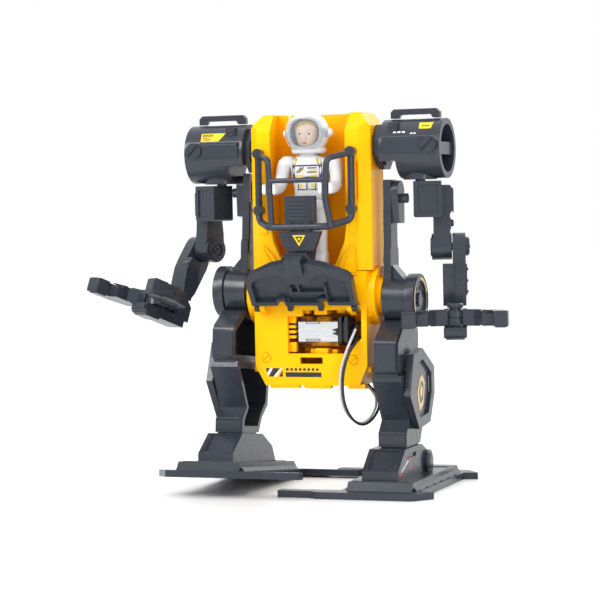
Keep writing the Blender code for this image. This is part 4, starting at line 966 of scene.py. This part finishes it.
def console_marks():
    """Raised shield and the triangular mark on the lower plate of the console."""
    shield = [(-8.0, 124.4), (-7.0, 120.9), (-4.2, 120.6), (-0.9, 117.2), (0.9, 117.2), (4.2, 120.6),
              (7.0, 120.9), (8.0, 124.4)]
    raised = frame_plate(shield, 0.62, "Y", CONSOLE_FRONT + 0.05, CONSOLE_FRONT + 0.4)
    add_piece("console_shield", [raised], "grey_plastic", "root", 0.12)
    triangle = [(-3.3, 123.5), (3.3, 123.5), (0.0, 118.2)]
    rim = frame_plate(triangle, 0.62, "Y", CONSOLE_FRONT, CONSOLE_FRONT + 0.8)
    middle = prism(scaled(triangle, 0.26), "Y", CONSOLE_FRONT, CONSOLE_FRONT + 0.8)
    add_piece("console_mark", [rim, middle], "sticker_yellow", "root")


def torso_petals():
    """Pointed yellow guards that rise beside the hatch."""
    leaf = [(23.4, 118.9), (20.6, 116.4), (17.6, 112.9), (16.0, 110.2), (15.4, 104.0), (24.3, 103.9),
            (24.1, 112.0)]
    fold = [(23.4, 118.9), (19.6, 112.4), (15.4, 104.0), (24.3, 103.9), (24.1, 112.0)]
    rail = [(20.2, 152.0), (24.6, 152.0), (24.6, 124.0), (21.2, 124.0)]
    parts = []
    for side in SIDES:
        parts.append(prism(mirrored(leaf, side), "Y", -15.3, TUB_FRONT))
        parts.append(prism(mirrored(scaled(fold, 0.8), side), "Y", -15.9, -15.2))
        parts.append(prism(mirrored(rail, side), "Y", -14.75, TUB_FRONT))
    add_piece("torso_petals", parts, "yellow_plastic", "root", 0.2)


# ---------------- belly, motor and hatch

def belly_front(z):
    """Y of the gearbox housing's front, whose lower band leans back."""
    return -14.5 + max(0.0, 59.0 - z) * 0.1354


def belly_print(outlines):
    """Flat printed shapes on the leaning band of the housing."""
    return [loft([[(x, belly_front(z) - lift, z) for x, z in outline] for lift in (-0.1, 0.06)])
            for outline in outlines]


def slotted_head(x, y, z, radius, proud, slot=0.3):
    """A round screw head that faces forward, with a slanting slot between its two halves."""
    steps, slant = 12, 0.7
    parts = [prism(circle(x, z, radius), "Y", y - proud * 0.4, y + proud * 0.4)]
    for tilt in (slant, math.pi + slant):
        dx, dz = -math.sin(tilt) * slot, math.cos(tilt) * slot
        half = [(x + dx + (radius - slot) * math.cos(tilt + math.pi * k / steps),
                 z + dz + (radius - slot) * math.sin(tilt + math.pi * k / steps)) for k in range(steps + 1)]
        parts.append(prism(half, "Y", y - proud, y))
    return parts


def belly_details():
    """Screws, a striped warning mark and the lower ribs of the gearbox housing."""
    screws = slotted_head(-23.0, -13.9, 64.0, 2.25, 0.75) + slotted_head(21.7, -13.9, 63.0, 2.25, 0.75)
    add_piece("housing_screws", screws, "yellow_plastic", "root")
    hazard = [[(-23.3, 58.9), (-21.2, 58.9), (-23.0, 56.6)],
              [(-19.6, 58.9), (-16.0, 58.9), (-19.8, 54.7), (-22.2, 54.7)],
              [(-14.8, 58.0), (-14.8, 54.7), (-16.8, 54.7)],
              [(-13.4, 56.9), (5.1, 56.9), (5.1, 54.6), (-13.2, 54.6)]]
    starts = (-12.8, -10.6, -8.4, -6.2, -4.0, -1.8, 0.4, 2.6)
    ticks = [[(x, 58.9), (x + 1.3, 58.9), (x + 1.1, 57.7), (x - 0.2, 57.7)] for x in starts]
    add_piece("housing_hazard_mark", belly_print(hazard + ticks), "sticker_black", "root")
    pale = [[(-21.0, 58.9), (-19.8, 58.9), (-22.4, 54.7), (-22.8, 56.4)],
            [(-15.8, 58.9), (-14.8, 58.9), (-18.2, 54.7), (-19.6, 54.7)]]
    add_piece("housing_hazard_pale", belly_print(pale), "sticker_white", "root")
    spans = ((-22, -7), (-4.4, 9.4), (18, 27))
    ribs = [block((low, -12.9, 48.9), (high, -9.0, 51.2)) for low, high in spans]
    keel = [block((low, -13.3, 49.3), (high, -12.2, 52.0)) for low, high in ((-2.0, 0.4), (3.4, 6.6))]
    add_piece("housing_ribs", ribs + keel, "yellow_plastic", "root", 0.25)


def motor_bay():
    """Cradle of the motor: a wall behind it, straps above and below, ribs and cheeks round its shaft."""
    wall = block((-8.4, 0.4, 62.5), (26.0, 1.4, 89.5))
    straps = [block((1.4, -12.4, 84.7), (8.0, 0.8, 87.4)), block((1.4, -12.4, 65.2), (8.0, 0.8, 68.4)),
              block((-6.8, -10.4, 85.2), (-1.6, 0.8, 87.4)), block((12.0, -9.4, 85.4), (16.2, 0.8, 87.4)),
              block((-1.6, -10.0, 65.2), (0.6, 0.8, 68.0)), block((9.4, -10.0, 65.2), (12.2, 0.8, 67.8))]
    ribs = [block((-12.6, -12.8, z), (-8.2, -10.6, z + 1.5)) for z in (73.2, 75.7, 78.2)]
    cheeks = [block((-12.6, -12.2, low), (-8.2, -9.6, high)) for low, high in ((80.6, 84.4), (66.6, 71.4))]
    add_piece("motor_cradle", [wall, *straps, *ribs, *cheeks], "yellow_plastic", "root", 0.3)


def motor_details():
    """Clamp slots on the can, the fins of the end cap, and short sleeves on the leads."""
    slots = []
    for z in (80.4, 71.9):
        outer = rectangle((-2.9, z), (4.4, z + 1.1))
        inner = rectangle((-2.5, z + 0.3), (4.0, z + 0.8))
        slots.append(ring_plate(outer, inner, "Y", -12.68, -12.5))
    notch = [(10.9, 75.4), (13.5, 74.6), (13.5, 78.4), (10.9, 77.6), (10.9, 76.9), (12.2, 76.9),
             (12.2, 76.1), (10.9, 76.1)]
    add_piece("can_slots", [*slots, prism(notch, "Y", -12.72, -12.5)], "black_plastic", "root")
    fin = [(-13.6, 71.6), (-13.6, 82.2), (-12.5, 84.4), (-9.6, 84.4), (-9.6, 70.6), (-12.5, 70.6)]
    fins = [prism(fin, "X", low, high) for low, high in ((14.0, 15.7), (17.0, 18.8))]
    sleeves = [swept(catmull_rom(route[:3], 5)[:8], 1.1, 14) for route in LEADS.values()]
    add_piece("endcap_fins", fins + sleeves, "black_plastic", "root", 0.25)


def hatch_details():
    """Ejector marks and small gussets on the inner face of the hatch."""
    face = -0.7
    gusset = [(4.0, 15.4), (5.0, 14.6), (9.8, 20.0), (9.0, 20.8)]
    parts = []
    for side in SIDES:
        parts.append(frame_plate(circle(side * 20.8, 8.2, 2.3, 28), 0.86, "Y", -0.95, face))
        parts.append(prism(mirrored(gusset, side), "Y", -1.9, face))
    parts.append(prism(rectangle((-1.5, 15.0), (5.0, 15.8)), "Y", -2.4, face))
    add_piece("hatch_marks", parts, "grey_plastic", "hatch", 0.1, HATCH)


# ---------------- shoulder pods

POD_AXIS = (3.0, 163.8)  # Y and Z of the drums' axis
POD_RADIUS = 14.4


def pod_film(name, finish, shapes, lift):
    """Printed film bent round the front of the pods. A shape lists (z, x low, x high) from below."""
    skins = (POD_RADIUS + lift, POD_RADIUS - 0.2)
    parts = []
    for shape in shapes:
        rings = []
        for start, end in zip(shape, shape[1:]):
            for step in range(7):
                z, low, high = (p + (q - p) * step / 6 for p, q in zip(start, end))
                front, back = (POD_AXIS[0] - math.sqrt(r ** 2 - (z - POD_AXIS[1]) ** 2) for r in skins)
                rings.append([(low, front, z), (high, front, z), (high, back, z), (low, back, z)])
        parts.append(loft(rings))
    add_piece(name, parts, finish, "root")


def pod_marks():
    """Plain labels, strokes and dashes on the drums."""
    label = [(169.9, -57.0, -47.8), (171.0, -57.0, -46.6), (173.9, -57.3, -44.6)]
    tag = [(173.0, 54.6, 60.4), (176.0, 54.0, 61.0)]
    pod_film("pod_labels", "sticker_yellow", [label, tag], 0.07)
    strokes = [[(172.4, x, x + 0.9), (173.4, x + 0.2, x + 1.1)] for x in (-56.4, -55.0, -53.6, -52.2)]
    lines = [[(170.6, -55.8, -51.8), (171.0, -55.8, -51.6)], [(171.5, -56.4, -52.6), (171.8, -56.4, -52.6)],
             [(174.2, 55.6, 59.4), (174.6, 55.6, 59.4)]]
    pod_film("pod_label_strokes", "sticker_black", strokes + lines, 0.11)
    dashes = [[(170.6, x, x + 1.2), (171.2, x, x + 1.2)] for x in (50.6, 52.2)]
    dashes += [[(171.2, x, x + 1.5), (172.0, x, x + 1.5)] for x in (42.0, 44.2, 46.4)]
    pod_film("pod_dashes", "sticker_white", dashes, 0.08)


def pod_details():
    """Eight-sided collar, lip, lug and end studs of each drum, and a thin black ring as painted shadow
    behind its slotted disc.
    """
    turns = [math.radians(a) for a in range(22, 360, 45)]
    collar = [(3.0 + 11.6 * math.cos(a), 164.6 + 11.2 * math.sin(a)) for a in turns]
    stud = [(0, 2.7), (3.6, 2.7), (4.6, 2.2), (4.9, 1.4)]
    for side in SIDES:
        name = side_name(side)
        parts = [side_prism(collar, side, 32.2, 35.2),
                 side_block(side, 37.4, 56.6, (-12.15, -11.6), (167.2, 168.4)),
                 frame_plate(circle(side * 41.8, 173.8, 1.5, 20), 0.55, "Y", -9.4, -8.8)]
        parts += [side_lathe(stud, side, 56.5, 3.0, z) for z in (171.0, 156.6)]
        add_piece(f"pod_fittings_{name}", parts, "grey_plastic", "root", 0.2)
        # painted shadow: a thin black ring stands in for the shade behind the slotted disc
        shadow = side_lathe([(0, 11.3), (0.5, 11.5)], side, 54.3, *POD_AXIS, 40)
        add_piece(f"pod_shadow_{name}", [shadow], "black_plastic", "root")


# ---------------- arms

def screw_row(points, side, level, radius=0.75):
    """Small domed screw heads on an outer side face; points are (y, z)."""
    head = [(-0.4, radius), (0.25, radius), (0.5, radius * 0.7), (0.6, radius * 0.25)]
    return [side_lathe(head, side, level, y, z, 16) for y, z in points]


def upper_arm_details(side, shoulder):
    """Plates, elbow rings and a bolt on the upper arm."""
    panel = [(-4.2, -17.4), (4.8, -17.4), (5.6, -23.6), (-4.8, -23.6)]
    parts = [side_block(side, 10.1, 10.7, (-8.2, -4.6), (-16.4, -2.0)),
             side_prism(rectangle((-3.0, -15.2), (4.8, -3.6)), side, 15.3, 15.8),
             side_prism(scaled(panel, 0.9), side, 13.8, 14.4),
             side_frame(circle(0.0, ELBOW_DROP, 4.6, 32), 0.72, side, 4.4, 5.1),
             side_frame(circle(0.0, ELBOW_DROP, 2.0), 0.5, side, 4.5, 5.1),
             side_lathe([(-0.3, 1.7), (1.2, 1.7), (1.5, 1.4)], side, 14.2, 2.2, -20.2, 20)]
    side_piece(side, "upper_arm_fittings", parts, "grey_plastic", "upper_arm", 0.15, shoulder)


def forearm_details(side, elbow):
    """Cover plate with its screws, elbow ring and bolt, a heel and the wrist disc on the forearm."""
    plate = [(-6.6, -8.6), (-6.8, -14.0), (-5.4, -23.6), (-1.6, -23.6), (1.0, -19.0), (4.6, -14.6),
             (5.4, -8.6)]
    heel = [(-9.6, -12.2), (-8.4, -9.4), (-6.6, -9.4), (-6.6, -14.2), (-8.9, -14.2)]
    parts = [side_prism(plate, side, 21.1, 21.8)]
    parts += screw_row([(-4.6, -11.0), (-4.9, -16.6), (-4.2, -21.8), (2.6, -11.0)], side, 21.8)
    parts += [side_frame(circle(0.0, 0.0, 3.9, 32), 0.55, side, 22.5, 23.1),
              side_lathe([(-0.2, 1.4), (0.5, 1.4), (0.8, 0.9)], side, 22.6, 0, 0, 6),
              side_prism(heel, side, 11.0, 14.8),
              side_lathe([(0, 3.0), (0.4, 3.1), (0.8, 2.4)], side, 18.7, *WRIST[1:])]
    side_piece(side, "forearm_fittings", parts, "grey_plastic", "forearm", 0.12, elbow)


def palm_details(side, wrist):
    """Stepped underside, front lip and jaw-pin cap of the palm."""
    under = [(-23.6, -9.0), (-12.4, -9.0), (-13.6, -10.2), (-21.8, -10.2)]
    cap = [(0, 3.6), (0.3, 3.9), (1.6, 3.9), (2.2, 3.3), (2.4, 2.0)]
    parts = [prism(under, "X", -4.4, 4.4),
             block((-4.6, -24.7, -7.6), (4.6, -23.9, -5.2)),
             lathe(cap, (0, JAW_PIN_Y, 4.6), (0, JAW_PIN_Y, 8), 28),
             block((-3.0, -9.6, -4.6), (3.0, -7.6, -3.6))]
    side_piece(side, "palm_fittings", parts, "grey_plastic", "hand", 0.2, wrist)


def claw_details(side, part, sign, pin):
    """Stepped pads above and below one jaw, and grip blocks at its tip."""
    pads = [[(12.9, -9.4), (17.6, -15.0), (17.8, -9.8), (14.8, -7.2)],
            [(18.3, -22.8), (24.2, -23.8), (24.6, -16.0), (18.3, -16.4)],
            [(4.4, -3.8), (9.0, -4.0), (12.0, -7.2), (12.4, 0.4), (4.4, 0.8)]]
    tip = [(18.2, -23.5), (24.4, -24.5), (24.4, -24.9), (18.2, -23.9)]
    front = [(12.9, -15.0), (17.9, -15.5), (17.9, -16.1), (12.9, -15.6)]
    parts = [prism(mirrored(pad, sign), "Z", 3.3, 3.9) for pad in pads]
    parts += [prism(mirrored(scaled(pad, 0.86), sign), "Z", -3.9, -3.3) for pad in pads[1:]]
    parts += [prism(mirrored(tip, sign), "Z", -2.6, 2.6), prism(mirrored(front, sign), "Z", -2.4, 2.4)]
    side_piece(side, f"claw_pads_{part}", parts, "grey_plastic", f"{part}_jaw", 0.15, pin)


def arm_details():
    """Fittings of both arms, from the shoulder to the claws."""
    for side in SIDES:
        shoulder, elbow, wrist = arm_frames(side)
        upper_arm_details(side, shoulder)
        forearm_details(side, elbow)
        palm_details(side, wrist)
        for part, sign in (("outer", side), ("inner", -side)):
            claw_details(side, part, sign, wrist @ shift(0, JAW_PIN_Y, 0))


# ---------------- legs and feet

LEG_PANEL = 49.8  # outer face of the leg's side panel
FOOT_SIDE = 48.9  # outer face of the foot block
FOOT_TICKS = [(-27.6 + 1.9 * k, -80.6 + 0.72 * k) for k in range(6)]
FOOT_DOTS = [(-29.6, -81.2), (-14.2, -75.6), (-14.4, -79.6)]


def polar(radius, degrees):
    """A point at an angle about the hip axis."""
    return radius * math.cos(math.radians(degrees)), radius * math.sin(math.radians(degrees))


def leg_fittings(side):
    """Rings and bolts on the hip drum, plates on the knee and shin, and a frame on the upper column."""
    cheek = [(-22.6, -19.6), (-14.0, -12.6), (-10.6, -13.0), (-13.0, -24.0), (-18.6, -33.4), (-22.6, -33.4)]
    spine = [(-6.2, 18.0), (5.2, 18.0), (3.8, 27.0), (3.8, 44.0), (-4.8, 44.0), (-4.8, 27.0)]
    bolt = [(-0.3, 0.9), (0.4, 0.9), (0.6, 0.6)]
    parts = [side_frame(circle(0, 0, radius, 56), share, side, level, level + 0.35)
             for radius, share, level in ((12.0, 0.95, 51.5), (8.6, 0.9, 50.3))]
    parts += [side_lathe(bolt, side, 50.4, *polar(6.3, degrees), 14) for degrees in range(0, 360, 60)]
    parts += [side_block(side, 35.6, 45.7, (-24.7, -24.0), (-32.8, -20.6)),
              side_block(side, 34.2, 47.2, (-14.9, -14.4), (-68.6, -64.4)),
              side_block(side, 34.2, 47.2, (-15.2, -14.6), (-63.6, -62.4)),
              side_prism(cheek, side, 46.0, 46.9),
              side_frame(spine, 0.78, side, 34.9, 35.5)]
    side_piece(side, "leg_fittings", parts, "grey_plastic", "leg", 0.15, LEG[side])


def leg_gold_print(side):
    """Three golden arcs on the hip drum and a plain crest on the leg's side panel."""
    parts = []
    for start in (20, 140, 260):
        sweep = [start + 6 * k for k in range(13)]
        sector = [polar(10.9, degrees) for degrees in sweep]
        sector += [polar(9.7, degrees) for degrees in sweep[::-1]]
        parts.append(side_prism(sector, side, 51.4, 51.72))
    crest = [(-3.0, -45.0), (1.5, -38.0), (6.0, -36.5), (9.5, -41.0), (6.5, -51.0), (0.5, -54.0)]
    parts.append(side_frame(crest, 0.66, side, LEG_PANEL, LEG_PANEL + 0.2))
    parts.append(side_prism(scaled(crest, 0.36), side, LEG_PANEL, LEG_PANEL + 0.2))
    side_piece(side, "leg_gold_print", parts, "brass", "leg", at=LEG[side])


def leg_flat_prints(side):
    """Pale bar on the side panel, and pale ticks and red dots on the foot."""
    pale = [side_prism(rectangle((16.0, -46.5), (17.6, -38.0)), side, LEG_PANEL, LEG_PANEL + 0.2)]
    for y, z in FOOT_TICKS:
        tick = [(y, z), (y + 1.1, z + 0.2), (y + 1.1, z + 1.5), (y, z + 1.3)]
        pale.append(side_prism(tick, side, FOOT_SIDE, FOOT_SIDE + 0.16))
    side_piece(side, "leg_pale_print", pale, "sticker_white", "leg", at=LEG[side])
    dots = [side_prism(oval(y, z, 1.2, 1.1), side, FOOT_SIDE, FOOT_SIDE + 0.18) for y, z in FOOT_DOTS]
    side_piece(side, "foot_red_print", dots, "sticker_red", "leg", at=LEG[side])


def foot_fittings(side):
    """Ankle block and discs, slope frame, deck ridges and pads along the outer edge of the sole."""
    ankle = (14, -79.2)
    outer_disc = [(-0.5, 4.3), (0.3, 4.3), (0.9, 3.4), (1.1, 1.2)]
    inner_disc = [(-0.4, 5.2), (0.5, 5.2), (0.9, 4.6), (1.1, 2.4)]
    slope = [(-31.6, -79.0), (-21.2, -70.6), (-21.2, -70.1), (-32.1, -78.7)]
    parts = [side_lathe(outer_disc, side, 50.5, *ankle, 32),
             lathe(inner_disc, (side * 48.8, *ankle), (side * 47, *ankle), 32),
             side_block(side, 34.4, 47.0, (-13.6, 6.4), (-71.0, -69.0))]
    ridges = ((-35.6, -33.4), (27.0, 29.4))
    parts += [side_block(side, 27.0, 55.8, ridge, (-84.4, -83.6)) for ridge in ridges]
    parts += [side_prism(slope, side, inner, outer) for inner, outer in ((32.0, 33.2), (46.8, 48.0))]
    parts += [side_block(side, 57.0, 60.2, (y, y + 5.0), (-88.4, -87.6)) for y in range(-34, 38, 12)]
    side_piece(side, "foot_fittings", parts, "grey_plastic", "leg", 0.15, LEG[side])


def leg_details():
    """Fittings and prints of both legs and feet."""
    for side in SIDES:
        leg_fittings(side)
        leg_gold_print(side)
        leg_flat_prints(side)
    for side in SIDES:
        foot_fittings(side)


# ---------------- back

REAR = 13.8  # Y of the back cover's face
SCREW_PLACES = ((21.8, 60.0), (21.8, 84.0), (22.6, 112.0), (22.6, 168.0))


def back_screws():
    """Domed screws in raised rings down both edges of the back."""
    head_profile = [(0, 1.9), (0.5, 1.9), (0.8, 1.4), (0.85, 0.5)]
    rings, heads = [], []
    for x, z in [(side * x, z) for side in SIDES for x, z in SCREW_PLACES]:
        rings.append(frame_plate(circle(x, z, 2.9, 28), 0.74, "Y", REAR, REAR + 0.9))
        heads.append(lathe(head_profile, (x, REAR - 0.1, z), (x, REAR + 2, z)))
    add_piece("back_screw_rings", rings, "yellow_plastic", "root", 0.1)
    add_piece("back_screws", heads, "steel", "root")


def back_details():
    """Rim round the battery door, three ribs, and the plate of the power switch with its two marks."""
    outer, inner = rectangle((-17.2, 107.4), (17.2, 168.6)), rectangle((-14.9, 109.6), (14.9, 166.4))
    door_rim = ring_plate(outer, inner, "Y", REAR, 14.9)
    ribs = [block((-21.0, REAR, z), (21.0, 14.6, z + 1.6)) for z in (70.0, 74.0, 78.0)]
    add_piece("back_ribs", [door_rim, *ribs], "yellow_plastic", "root", 0.25)
    plate, window = rectangle((-8.0, 90.4), (8.0, 99.6)), rectangle((-5.1, 92.9), (5.1, 97.1))
    add_piece("switch_plate", [ring_plate(plate, window, "Y", REAR, 14.2)], "sticker_black", "root")
    outlines = (rectangle((-7.4, 94.2), (-6.0, 95.8)), circle(6.7, 95.0, 0.8, 16))
    marks = [prism(outline, "Y", 14.1, 14.3) for outline in outlines]
    add_piece("switch_marks", marks, "sticker_white", "root")


# ---------------- the whole scene

add_camera()
add_world()
add_floor()
for light_name, light_values in LIGHTS.items():
    add_light(light_name, *light_values)
dress_nodes()
for make in (motor_leads, helmet, visor, head, hair, face_print, suit, harness, pilot_arms, cage,
             console_marks, torso_petals, belly_details, motor_bay, motor_details, hatch_details, pod_marks,
             pod_details, arm_details, leg_details, back_screws, back_details):
    make()
